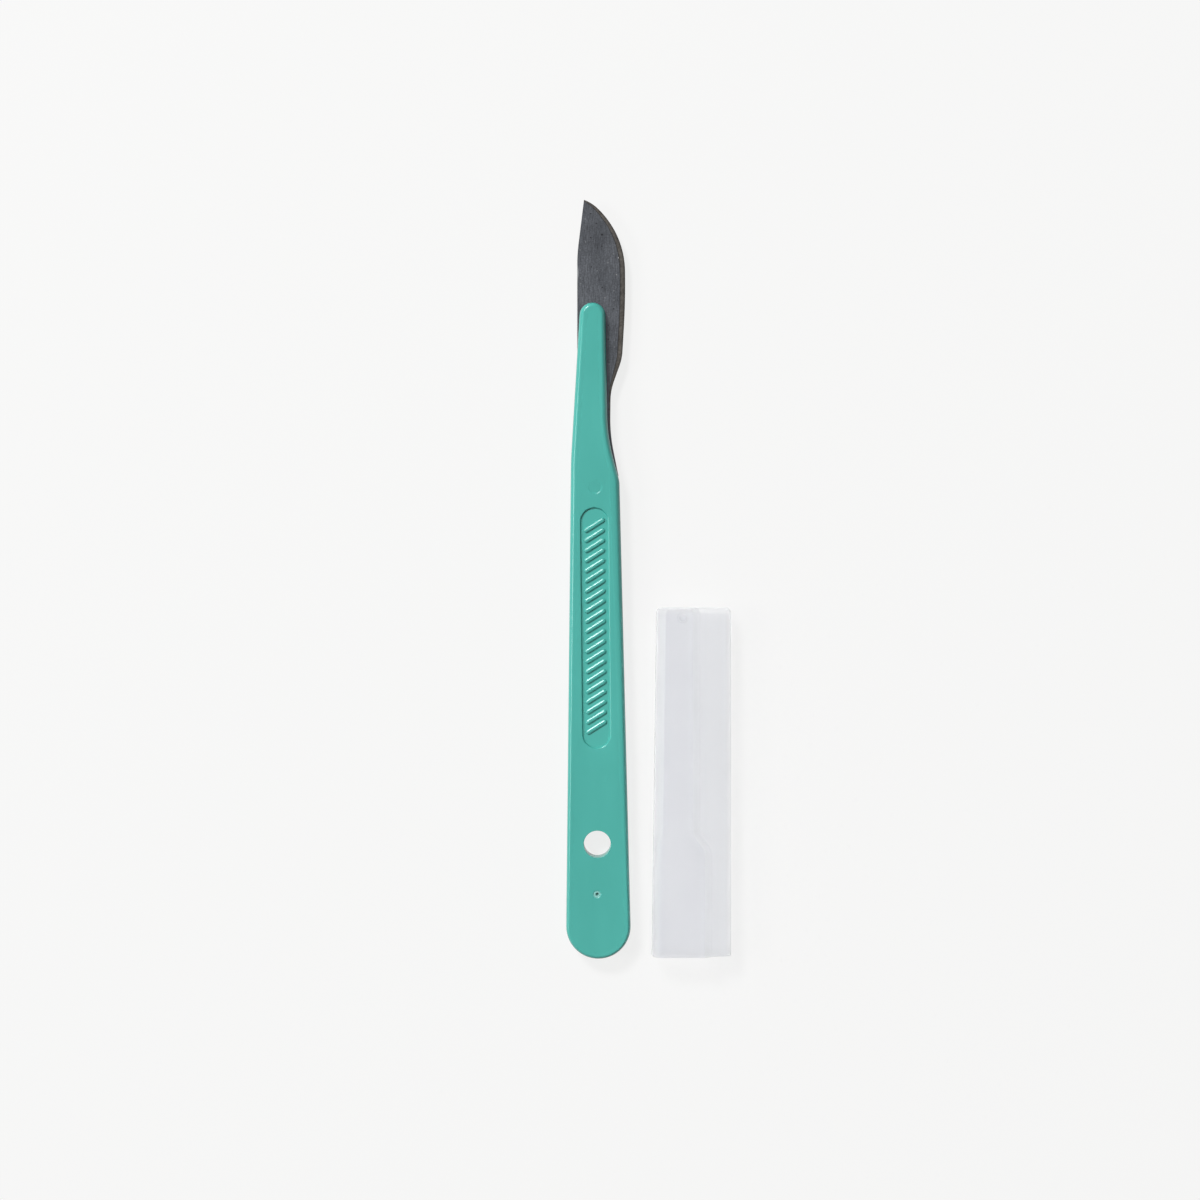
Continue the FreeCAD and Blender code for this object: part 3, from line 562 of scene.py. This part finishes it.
class Finish:
    """A material with a Principled shader and short ways to add nodes to it."""

    def __init__(self, name, color, roughness, metallic=0.0):
        self.material = bpy.data.materials.new(name)
        self.material.use_nodes = True
        self.tree = self.material.node_tree
        self.shader = self.tree.nodes["Principled BSDF"]
        self.set("Base Color", (*color, 1.0))
        self.set("Roughness", roughness)
        self.set("Metallic", metallic)
        places = self.tree.nodes.new("ShaderNodeTexCoord").outputs
        self.coords, self.normals = places["Object"], places["Normal"]

    def set(self, socket, value):
        self.shader.inputs[socket].default_value = value

    def drive(self, socket, output):
        self.tree.links.new(output, self.shader.inputs[socket])

    def stretched(self, scale):
        node = self.tree.nodes.new("ShaderNodeMapping")
        node.inputs["Scale"].default_value = scale
        self.tree.links.new(self.coords, node.inputs["Vector"])
        return node.outputs["Vector"]

    def noise(self, scale, detail=2.0, vector=None, rough=0.5):
        node = self.tree.nodes.new("ShaderNodeTexNoise")
        node.inputs["Scale"].default_value = scale
        node.inputs["Detail"].default_value = detail
        node.inputs["Roughness"].default_value = rough
        self.tree.links.new(vector or self.coords, node.inputs["Vector"])
        return node.outputs["Fac"]

    def ramp(self, output, stops):
        node = self.tree.nodes.new("ShaderNodeValToRGB")
        elements = node.color_ramp.elements
        while len(elements) < len(stops):
            elements.new(0.5)
        for element, (position, color) in zip(elements, stops):
            element.position = position
            element.color = (*color, 1.0)
        self.tree.links.new(output, node.inputs["Fac"])
        return node.outputs["Color"]

    def range(self, output, low, high, to_low, to_high):
        node = self.tree.nodes.new("ShaderNodeMapRange")
        limits = {"From Min": low, "From Max": high, "To Min": to_low, "To Max": to_high}
        for socket, value in limits.items():
            node.inputs[socket].default_value = value
        self.tree.links.new(output, node.inputs["Value"])
        return node.outputs["Result"]

    def math(self, operation, a, b=0.0):
        node = self.tree.nodes.new("ShaderNodeMath")
        node.operation = operation
        for socket, value in zip(node.inputs, (a, b)):
            if isinstance(value, (int, float)):
                socket.default_value = value
            else:
                self.tree.links.new(value, socket)
        return node.outputs["Value"]

    def mix(self, a, b, factor, kind="MIX"):
        node = self.tree.nodes.new("ShaderNodeMix")
        node.data_type = "RGBA"
        node.blend_type = kind
        for socket, value in ((node.inputs[0], factor), (node.inputs[6], a), (node.inputs[7], b)):
            if isinstance(value, tuple):
                socket.default_value = (*value, 1.0)
            elif isinstance(value, (int, float)):
                socket.default_value = value
            else:
                self.tree.links.new(value, socket)
        return node.outputs[2]

    def bump(self, height, strength, distance, before=None):
        node = self.tree.nodes.new("ShaderNodeBump")
        node.inputs["Strength"].default_value = strength
        node.inputs["Distance"].default_value = distance
        self.tree.links.new(height, node.inputs["Height"])
        if before is not None:
            self.tree.links.new(before, node.inputs["Normal"])
        return node.outputs["Normal"]

    def attribute(self, name):
        node = self.tree.nodes.new("ShaderNodeAttribute")
        node.attribute_name = name
        return node.outputs["Fac"]

    def along(self, axis, vector=None):
        """One coordinate of a vector, which is the position if no other is given."""
        node = self.tree.nodes.new("ShaderNodeSeparateXYZ")
        self.tree.links.new(vector or self.coords, node.inputs["Vector"])
        return node.outputs[axis]

    def factor(self, output, amount):
        """Grey around 1 that varies by the amount where the output runs from 0.3 to 0.7."""
        return self.ramp(output, [(0.3, (1.0 - amount,) * 3), (0.7, (1.0 + amount,) * 3)])

    def spot(self, x, y, radius, long=1.0):
        """1 in a small soft spot on the face and 0 around it, long times as long as wide."""
        across = self.math("SUBTRACT", self.along("X"), x * MM)
        up = self.math("DIVIDE", self.math("SUBTRACT", self.along("Y"), y * MM), long)
        squares = [self.math("MULTIPLY", value, value) for value in (across, up)]
        apart = self.math("SQRT", self.math("ADD", *squares))
        return self.range(apart, 0.5 * radius * MM, 1.25 * radius * MM, 1.0, 0.0)


# %% [markdown]
# ### Green moulded plastic
#
# The handle is an opaque bluish green with a soft gloss. Its face isn't perfectly even: wide,
# faint clouds from the flow of the plastic vary the colour and the roughness, and wide waves
# and a very fine grain from the mould are in the bump. On the upper face the gate was torn off,
# which leaves a whitened ring round a pit, and the pit is darkened with painted shade.

# %% Handle plastic
TORN_GREEN, PIT_SHADE_GREEN = (0.4, 0.72, 0.68), (0.008, 0.1, 0.085)
green = Finish("green_plastic", (0.058, 0.412, 0.356), 0.25)
clouds = green.noise(160, 3.0, green.stretched((1.0, 0.35, 1.0)))
body = green.ramp(clouds, [(0.3, (0.053, 0.39, 0.337)), (0.7, (0.063, 0.42, 0.364))])
upper = green.math("GREATER_THAN", green.along("Z"), MIDDLE * MM)
ring_middle = green.spot(GATE[0] + 0.03, GATE[1] + 0.02, 0.3)
torn = green.math("SUBTRACT", green.spot(*GATE, 0.66), ring_middle)
torn = green.math("MULTIPLY", green.math("MULTIPLY", torn, upper), 0.9)
# painted shade: the gate's pit is coloured dark, as the shadow inside it
pit_shade = green.math("MULTIPLY", green.spot(GATE[0] + 0.05, GATE[1] + 0.03, 0.27), upper)
green.drive("Base Color", green.mix(green.mix(body, TORN_GREEN, torn), PIT_SHADE_GREEN, pit_shade))
green.drive("Roughness", green.range(clouds, 0.1, 0.9, 0.21, 0.27))
grain = green.bump(green.noise(5200, 3.0), 0.05, 0.00002)
flow = green.noise(90, 2.0, green.stretched((1.0, 0.2, 1.0)))
green.drive("Normal", green.bump(flow, 0.18, 0.0004, grain))
green.set("IOR", 1.5)
handle.data.materials.clear()
handle.data.materials.append(green.material)
print("finish", green.material.name)

# %% Repeat the rib on both faces
ribs.data.materials.append(green.material)
rows = ribs.modifiers.new("rows", "NODES")
rows.node_group = repeat_tree(green.material)
wanted = {
    "Count": RIB_COUNT,
    "Pitch": RIB_PITCH * MM,
    "First": (RECESS_X * MM, RIB_LOW * MM, (MIDDLE + FLOOR) * MM),
    "Angle": math.radians(RIB_ANGLE - 90),
    "Middle": MIDDLE * MM,
}
for item in rows.node_group.interface.items_tree:
    if item.in_out == "INPUT" and item.name in wanted:
        rows[item.identifier] = wanted[item.name]
apply_modifiers(ribs)
print("ribs", 2 * RIB_COUNT, "faces", len(ribs.data.polygons))

# %% [markdown]
# ## The blade
#
# The blade is punched from strip and ground on both sides of its cutting edge, from the point
# round the belly to the heel. It is again a stack of outlines: the full outline at the thin
# edge, and an outline moved in by the width of the ground bevel at the flat face. Each point
# carries how far across the bevel it lies, so the finish can paint fine dark lines of shade at
# both of the bevel's borders.

# %% Outline of the blade, and the share of the bevel that each corner has
BEVEL = 1.1
BLADE = [
    corner(5.02, 73.5),
    corner(3.43, 81.9, 34.0),
    corner(3.62, 90.65, 12.0),
    corner(5.99, 97.1, 10.0),
    corner(6.765, 108.4, 150.0),
    corner(6.765, 121.85, 17.6),
    corner(0.27, 128.35, 7.6),
    corner(-1.32, 128.95),
    corner(-2.775, 118.1, 34.0),
    corner(-3.2, 77.0),
]
GROUND = [0.0, 0.0, 0.3, 0.95, 1.0, 0.95, 0.5, None, 0.0, 0.0]
TIP_GROUND = 0.3  # share of the point, None in GROUND, whose corner moves along the spine


def moved_in(stations, ground, rest):
    """Stations moved in by the bevel's depth where they are ground, and a hair elsewhere."""
    runs = runs_of(stations)
    moved = []
    for i, ((kind, x, y, r), share) in enumerate(zip(stations, GROUND)):
        into, out = ways_at(runs, i)
        side = Vector((-into.y, into.x))
        if share is None:
            way = out * (TIP_GROUND * ground / out.dot(side))
        else:
            depth = ground * share + rest * (1 - share)
            normal = (side + Vector((-out.y, out.x))).normalized()
            way = normal * (depth / normal.dot(side))
        moved.append((kind, x + way.x, y + way.y, r))
    return moved


# %% Blade
BLADE_HALF, EDGE_HALF, BLADE_SHARP = 0.2, 0.025, 5
# Share of the bevel, set-back of the sides that aren't ground, and height above the middle
half_levels = [(1.0, 0.03, BLADE_HALF), (0.84, 0.0, 0.172), (0.42, 0.0, 0.0985)]
half_levels.append((0.0, 0.0, EDGE_HALF))


def blade_loop(bm, across, share, rest, z):
    ground = BEVEL * share
    loop = add_loop(bm, outline(moved_in(BLADE, ground, rest), arc=20, run=8), MIDDLE + z)
    for vert in loop:
        vert[across] = ground / BEVEL
    return loop


blade_mesh = bmesh.new()
across = blade_mesh.verts.layers.float.new("across")
levels = [(share, rest, -z) for share, rest, z in half_levels] + half_levels[::-1]
loops = [blade_loop(blade_mesh, across, *level) for level in levels]
for low, high in zip(loops, loops[1:]):
    for face in join(blade_mesh, low, high):
        face.normal_update()
        face.material_index = int(abs(face.normal.z) > 0.5)
key_loops = straight_wall(blade_mesh, keyhole_outline(*KEYHOLE), BLADE_HALF)
for flat_loop, key_loop in zip((loops[0], loops[-1]), key_loops):
    fill(blade_mesh, flat_loop, key_loop)
    for vert in key_loop:
        vert[across] = 1.0
blade = finish_mesh(blade_mesh, "ground_blade", BLADE_SHARP)

# %% [markdown]
# ### Steel
#
# Carbon steel blades are dark, with fine lines along the blade from grinding the strip, a few
# pits and bright specks, and a browner, brighter bevel with painted shade as a dark line along
# each border. The lines are a noise stretched along the blade. The small pits and specks come from
# a cell texture cut off close to the cells' centres; the few large ones and a painted glint stand
# in a list.

# %% Lines and patches of the steel
steel = Finish("dark_steel", (0.068, 0.072, 0.082), 0.42, 0.8)
lines = steel.noise(1.0, 4.0, steel.stretched((8000, 500, 1200)), 0.6)
patches = steel.noise(260, 4.0, steel.stretched((1.0, 0.6, 1.0)), 0.6)
grit = steel.noise(3400, 2.0)
tone = steel.ramp(patches, [(0.25, (0.053, 0.057, 0.065)), (0.75, (0.093, 0.099, 0.111))])
tone = steel.mix(tone, steel.factor(lines, 0.4), 1.0, "MULTIPLY")
tone = steel.mix(tone, steel.factor(grit, 0.22), 1.0, "MULTIPLY")
tipwards = steel.range(steel.along("Y"), 108.0 * MM, 129.0 * MM, 1.0, 0.8)
tone = steel.mix(tone, tipwards, 1.0, "MULTIPLY")

# %% Pits, specks and a painted glint on the spine
PIT_TONE, SPECK_TONE = (0.02, 0.021, 0.024), (0.13, 0.137, 0.145)
LARGE_SPOTS = [  # colour, then x, y and radius, and of the painted glint how long it is
    ((0.012, 0.012, 0.014), (2.22, 121.9, 0.22)),
    ((0.42, 0.42, 0.42), (5.55, 117.26, 0.17)),
    ((0.22, 0.22, 0.22), (5.04, 113.86, 0.12)),
    ((0.17, 0.17, 0.17), (2.69, 109.27, 0.13)),
    # painted glint: a long light streak on the spine's edge, standing in for a highlight
    ((0.26, 0.27, 0.28), (-2.98, 114.3, 0.42, 3.6)),
]
cells = steel.tree.nodes.new("ShaderNodeTexVoronoi")
cells.voronoi_dimensions = "2D"
cells.inputs["Scale"].default_value = 900
cells.inputs["Randomness"].default_value = 1.0
steel.tree.links.new(steel.coords, cells.inputs["Vector"])
dots = steel.range(cells.outputs["Distance"], 0.08, 0.16, 1.0, 0.0)
kinds = steel.tree.nodes.new("ShaderNodeSeparateColor")
steel.tree.links.new(cells.outputs["Color"], kinds.inputs["Color"])
dark_dots = steel.math("MULTIPLY", dots, steel.math("GREATER_THAN", kinds.outputs[0], 0.93))
light_dots = steel.math("MULTIPLY", dots, steel.math("LESS_THAN", kinds.outputs[0], 0.05))
tone = steel.mix(tone, PIT_TONE, dark_dots)
tone = steel.mix(tone, SPECK_TONE, light_dots)
for color, place in LARGE_SPOTS:
    tone = steel.mix(tone, color, steel.spot(*place))
steel.drive("Base Color", tone)
steel.drive("Roughness", steel.range(lines, 0.3, 0.7, 0.36, 0.5))
steel.drive("Normal", steel.bump(grit, 0.15, 0.000006, steel.bump(lines, 0.2, 0.000006)))
blade.data.materials.append(steel.material)

# %% Ground edge, with its colours from the cutting edge to the flat face, and painted shade at both borders
# the dark ends of the ramp are painted shade along the cutting edge and the bevel's inner crease
BEVEL_TONES_AND_BORDER_SHADE = [
    (0.0, (0.022, 0.021, 0.02)),
    (0.16, (0.07, 0.063, 0.056)),
    (0.5, (0.105, 0.096, 0.086)),
    (0.8, (0.095, 0.088, 0.08)),
    (1.0, (0.018, 0.018, 0.02)),
]
edge = Finish("ground_edge", (0.09, 0.085, 0.076), 0.38, 0.8)
strokes = edge.noise(1.0, 3.0, edge.stretched((2200, 2200, 2200)), 0.6)
steps = edge.noise(520, 1.0)
border = edge.ramp(edge.attribute("across"), BEVEL_TONES_AND_BORDER_SHADE)
border = edge.mix(border, edge.factor(strokes, 0.3), 1.0, "MULTIPLY")
edge.drive("Base Color", edge.mix(border, edge.factor(steps, 0.22), 1.0, "MULTIPLY"))
edge.drive("Normal", edge.bump(strokes, 0.2, 0.000008))
blade.data.materials.append(edge.material)
print("finishes", steel.material.name, edge.material.name)

# %% [markdown]
# ## The blade cover
#
# The cover is a thin-walled moulding: a flat pocket for the blade, with a raised channel on both
# faces for the neck, which widens towards the open mouth for the handle's body. All of it can be
# read as one section that changes along the length, so the cover is a stack of sections too. The
# outer and the inner wall are two stacks that meet at the mouth, which gives a true wall
# thickness, and light needs that to look right in a frosted piece.

# %% Sizes of the cover, in its own x and height, with the mouth at y = 0
COVER_LONG, STEP_START, STEP_END = 69.5, 21.6, 24.1
FACE_OUT, FACE_IN, POCKET_OUT, POCKET_IN = 3.65, 2.55, 1.9, 0.8
# Sides of the handle inside the channel, then the pocket's side, its wall and the clearance
WIDE_LEFT, WIDE_RIGHT, NARROW_LEFT, NARROW_RIGHT = -4.632, 5.25, -4.006, 2.858
POCKET_RIGHT, SIDE_WALL, FIT = 9.265, 0.87, 0.15
# Run for each unit of rise, set-back of the top edge, width of the inner bevel, taper per unit
SLOPE, REACH, INNER_BEVEL, DRAFT = 0.85, 0.613, 0.82, 0.0135

# %% Sections of the cover


def mirrored_section(front):
    """A whole section from its front half, which is listed from right to left."""
    return [(kind, x, -z, r) for kind, x, z, r in front[::-1]] + front


def outer_section(y, wide, cut=0.0):
    """Outer section at y with the wide or the narrow channel, every side drawn in by cut."""
    pocket_left = WIDE_LEFT + DRAFT * y - FIT - SIDE_WALL
    right = (WIDE_RIGHT if wide else NARROW_RIGHT) + FIT - REACH
    foot = SLOPE * (FACE_OUT - POCKET_OUT)
    right_side = [
        (POCKET_RIGHT + SIDE_WALL, POCKET_OUT, 1.2),
        (right + foot, POCKET_OUT, 0.5),
        (right, FACE_OUT, 0.45),
    ]
    if wide:
        left_side = [
            (pocket_left + 0.5, FACE_OUT, 1.9),
            (pocket_left + 0.14, POCKET_OUT, 0.3),
            (pocket_left, 1.2, 0.3),
        ]
    else:
        left = NARROW_LEFT + DRAFT * (y - STEP_END) - FIT + REACH
        left_side = [
            (left, FACE_OUT, 0.45),
            (left - foot, POCKET_OUT + 0.02, 0.3),
            (pocket_left, POCKET_OUT - 0.1, 0.8),
        ]
    front = [corner(x - cut, z - cut, r) for x, z, r in right_side]
    return mirrored_section(front + [corner(x + cut, z - cut, r) for x, z, r in left_side])


def inner_section(y, wide, flare=0.0):
    """Inner section at y, a little wider where it flares at the mouth."""
    pocket_left = WIDE_LEFT + DRAFT * y - FIT - flare
    right = (WIDE_RIGHT if wide else NARROW_RIGHT) + FIT + flare
    left = pocket_left + 0.01 if wide else NARROW_LEFT + DRAFT * (y - STEP_END) - FIT
    top = FACE_IN + flare
    side_top = FACE_IN - INNER_BEVEL / SLOPE
    front = [
        (POCKET_RIGHT + flare, POCKET_IN + flare, 0.2),
        (right, POCKET_IN + flare, 0.15),
        (right, side_top, 0.15),
        (right - INNER_BEVEL, top, 0.15),
        (left + INNER_BEVEL, top, 0.15),
        (left, side_top, 0.15),
        (left, POCKET_IN + 0.02 + flare, 0.02),
        (pocket_left, POCKET_IN + flare, 0.02),
    ]
    return mirrored_section([corner(*values) for values in front])


def blended(a, b, share):
    """A section between two that have the same kinds of station."""
    stations = []
    for (kind, *first), (_, *second) in zip(a, b):
        stations.append((kind, *(p + (q - p) * share for p, q in zip(first, second))))
    return stations


def narrowing(y, soft=0.55):
    """How far the channel has narrowed at y, from 0 to 1, with soft ends."""

    def area(u):
        return 0.0 if u < 0 else u * u / 2 if u < 1 else u - 0.5

    u = (y - STEP_START) / (STEP_END - STEP_START)
    return (area(u + soft) - area(u - soft)) / (2 * soft)


# %% Where the sections lie, each with how far it is drawn in or flared
step_ys = [(STEP_START - 1.5 + 5.5 * k / 16, 0.0) for k in range(17)]
mouth_out = [(0.0, 0.4), (0.04, 0.24), (0.14, 0.09), (0.3, 0.0), (1.0, 0.0), (11.0, 0.0)]
mouth_in = [(0.0, 0.3), (0.1, 0.27), (1.25, 0.25), (1.4, 0.02), (1.5, 0.0), (11.0, 0.0)]
end_out = [(68.1, 0.0), (68.4, 0.015), (68.7, 0.06), (68.95, 0.14), (69.17, 0.26)]
end_out += [(69.34, 0.42), (69.45, 0.6), (COVER_LONG, 0.8), (COVER_LONG, 1.0)]
middle_ys = [(40.0, 0.0), (55.0, 0.0)]
outer_ys = mouth_out + step_ys + middle_ys + end_out
inner_ys = mouth_in + step_ys + middle_ys + [(68.2, 0.0)]

# %% Walls of the cover
TURN, COVER_AT = math.radians(-0.6), (16.302, -22.5, 3.65)
COVER_SHARP = 34


def cover_point(x, y, z):
    """A point of the cover's own frame in the scene, in metres."""
    c, s = math.cos(TURN), math.sin(TURN)
    turned = (x * c - y * s, x * s + y * c, z)
    return tuple((at + value) * MM for at, value in zip(COVER_AT, turned))


def wall_loops(bm, ys, section, arc):
    """One wall of the cover, from its mouth to its end."""
    loops = []
    for y, more in ys:
        stations = blended(section(y, True, more), section(y, False, more), narrowing(y))
        points = outline(stations, arc, run=3)
        loops.append([bm.verts.new(cover_point(p.x, y, p.y)) for p in points])
    for low, high in zip(loops, loops[1:]):
        join(bm, low, high)
    return loops


cover_mesh = bmesh.new()
outside = wall_loops(cover_mesh, outer_ys, outer_section, 8)
inside = wall_loops(cover_mesh, inner_ys, inner_section, 3)
fill(cover_mesh, outside[-1])
fill(cover_mesh, inside[-1])
fill(cover_mesh, outside[0], inside[0])
cover = finish_mesh(cover_mesh, "cover_moulding", COVER_SHARP, 1e-6)

# %% Mark of the cover's gate
cover_gate = [value / MM for value in cover_point(0.37, COVER_LONG - 2.0, 0.0)[:2]]
dent = [(0.84, 0.3), (0.84, 0.0), (0.8, -0.05), (0.74, -0.17)]
dent += [(0.6, -0.2), (0.42, -0.15), (0.3, -0.1)]
dent_mesh = bmesh.new()
dent_loops = stack(dent_mesh, [(ring(*cover_gate, r, 32), 2 * FACE_OUT + z) for r, z in dent])
fill(dent_mesh, dent_loops[0])
fill(dent_mesh, dent_loops[-1])
cut_out(cover, finish_mesh(dent_mesh, "gate_cutter"), COVER_SHARP)

# %% [markdown]
# ### Frosted plastic
#
# The cover lets light through but shows nothing behind it. Part of the light goes through the
# wall and is scattered, which a rough transmission gives, and the rest comes back from the
# blasted surface. Painted light whitens the slanting walls, as light through the plastic would,
# painted light lifts the pocket where the raised channel shades it, and painted shade darkens
# one side of the gate's dent.

# %% Cover plastic
PAINTED_POCKET_LIGHT, PAINTED_SLANT_LIGHT, GATE_SHADE_TONE = (0.915, 0.92, 0.935), (0.965, 0.97, 0.985), (0.66, 0.67, 0.7)
frost = Finish("frosted_plastic", (0.92, 0.93, 0.955), 0.55)
haze = frost.noise(120, 3.0)
wall = frost.ramp(haze, [(0.3, (0.85, 0.857, 0.885)), (0.7, (0.875, 0.882, 0.906))])
height = frost.math("ABSOLUTE", frost.math("SUBTRACT", frost.along("Z"), COVER_AT[2] * MM))
# painted light: the pocket, which the raised channel shades, is lifted to a lighter tone
in_pocket = frost.range(height, 2.3 * MM, 2.1 * MM, 0.0, 1.0)
wall = frost.mix(wall, PAINTED_POCKET_LIGHT, in_pocket)
# painted shade: a dark crescent on one side of the gate's dent
gate_middle = frost.spot(cover_gate[0] + 0.14, cover_gate[1] + 0.16, 0.8)
gate_shade = frost.math("SUBTRACT", frost.spot(*cover_gate, 1.0), gate_middle)
wall = frost.mix(wall, GATE_SHADE_TONE, frost.math("MULTIPLY", gate_shade, 0.8))
# painted light: slanting walls are lightened, standing in for light that comes through the plastic
upright = frost.math("ABSOLUTE", frost.along("Z", frost.normals))
painted_slant_light = frost.range(upright, 0.96, 0.72, 0.0, 1.0)
frost.drive("Base Color", frost.mix(wall, PAINTED_SLANT_LIGHT, painted_slant_light))
frost.drive("Roughness", frost.range(frost.noise(900, 2.0), 0.3, 0.7, 0.48, 0.62))
frost.drive("Normal", frost.bump(frost.noise(4200, 3.0), 0.15, 0.00002))
frost.set("IOR", 1.2)
frost.set("Transmission Weight", 0.95)
cover.data.materials.clear()
cover.data.materials.append(frost.material)
print("finish", frost.material.name)

# %% [markdown]
# ## Seat the pieces
#
# The scalpel and its cover are one body without joints, so every piece rides on it. Each piece
# stands for the solid that it was made after.

# %% Ride and replace
for piece, node, slot in (
    (handle, "handle", "handle_plastic"),
    (ribs, "handle", "handle_plastic"),
    (blade, "blade", "blade_steel"),
    (cover, "blade_cover", "cover_plastic"),
):
    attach(piece, "root")
    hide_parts(node)

# %% [markdown]
# ## Floor, light and camera
#
# A plain pale floor, a soft key lamp beyond the blade's end on the left, a wide weaker lamp at
# the left side, a faint one above and an even surrounding light give the soft studio look. Each
# lights another part of the crown, so the lines of light along the handle stay apart. The camera
# looks straight down, turned by the small angle at which the scalpel leans.

# %% Floor
floor_mesh = bmesh.new()
bmesh.ops.create_grid(floor_mesh, x_segments=1, y_segments=1, size=6.0)
floor_data = bpy.data.meshes.new("floor")
floor_mesh.to_mesh(floor_data)
floor_mesh.free()
floor = bpy.data.objects.new("floor", floor_data)
bpy.context.scene.collection.objects.link(floor)
pale = Finish("pale_floor", (0.6, 0.6, 0.6), 0.9)
pale.set("Specular IOR Level", 0.2)
floor.data.materials.append(pale.material)
floor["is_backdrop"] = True


def background_share(tree, share):
    """A share for the rays that see a background: from the camera, a gloss or a clear piece."""
    path = tree.nodes.new("ShaderNodeLightPath")
    seen = path.outputs["Is Camera Ray"]
    for ray in ("Is Glossy Ray", "Is Transmission Ray"):
        either = tree.nodes.new("ShaderNodeMath")
        either.operation = "MAXIMUM"
        tree.links.new(seen, either.inputs[0])
        tree.links.new(path.outputs[ray], either.inputs[1])
        seen = either.outputs["Value"]
    part = tree.nodes.new("ShaderNodeMath")
    part.operation = "MULTIPLY"
    part.inputs[1].default_value = share
    tree.links.new(seen, part.inputs[0])
    return part.outputs["Value"]


glow = pale.tree.nodes.new("ShaderNodeEmission")
glow.inputs["Color"].default_value = (1.0, 1.0, 0.995, 1)
glow.inputs["Strength"].default_value = 1.0
shown = pale.tree.nodes.new("ShaderNodeMixShader")
pale.tree.links.new(background_share(pale.tree, 0.82), shown.inputs["Fac"])
pale.tree.links.new(pale.shader.outputs["BSDF"], shown.inputs[1])
pale.tree.links.new(glow.outputs["Emission"], shown.inputs[2])
pale.tree.links.new(shown.outputs["Shader"], pale.tree.nodes["Material Output"].inputs["Surface"])

# %% Lamps and surrounding light
AIM = Vector((0.005, 0.05, 0.0))


def area_lamp(name, place, size, power):
    data = bpy.data.lights.new(name, "AREA")
    data.shape = "RECTANGLE"
    data.size, data.size_y = size
    data.energy = power
    lamp = bpy.data.objects.new(name, data)
    lamp.location = place
    lamp.rotation_euler = (AIM - Vector(place)).to_track_quat("-Z", "Y").to_euler()
    bpy.context.scene.collection.objects.link(lamp)


area_lamp("key_lamp", (-0.86, 1.38, 1.58), (0.55, 0.38), 45.5)
area_lamp("side_lamp", (-1.8, 0.05, 1.26), (0.8, 0.7), 18)
area_lamp("top_lamp", (0.0, 0.05, 2.5), (2.0, 2.0), 3.4)
world = bpy.data.worlds.new("studio")
bpy.context.scene.world = world
world.use_nodes = True
around = world.node_tree
soft = around.nodes["Background"]
soft.inputs["Color"].default_value = (1, 1, 1, 1)
soft.inputs["Strength"].default_value = 0.1
backdrop = around.nodes.new("ShaderNodeBackground")
backdrop.inputs["Strength"].default_value = 0.93
both = around.nodes.new("ShaderNodeMixShader")
around.links.new(background_share(around, 1.0), both.inputs["Fac"])
around.links.new(soft.outputs["Background"], both.inputs[1])
around.links.new(backdrop.outputs["Background"], both.inputs[2])
around.links.new(both.outputs["Shader"], around.nodes["World Output"].inputs["Surface"])

# %% Camera
FIELD, DISTANCE, SENSOR, CAMERA_TURN = 240.6, 420.0, 36.0, math.radians(-0.6)
camera_data = bpy.data.cameras.new("camera")
camera_data.sensor_width = SENSOR
camera_data.sensor_fit = "HORIZONTAL"
camera_data.lens = SENSOR * DISTANCE / FIELD
camera = bpy.data.objects.new("camera", camera_data)
camera.location = (1.05 * MM, 48.7 * MM, (MIDDLE + DISTANCE) * MM)
camera.rotation_euler = (0, 0, CAMERA_TURN)
bpy.context.scene.collection.objects.link(camera)
bpy.context.scene.camera = camera
bpy.context.scene.view_settings.view_transform = "Standard"
print("lens", round(camera_data.lens, 2))

# %% Measure and print the visual box
low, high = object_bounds()
print("visual box in mm", [round((h - l) / MM, 2) for l, h in zip(low, high)])
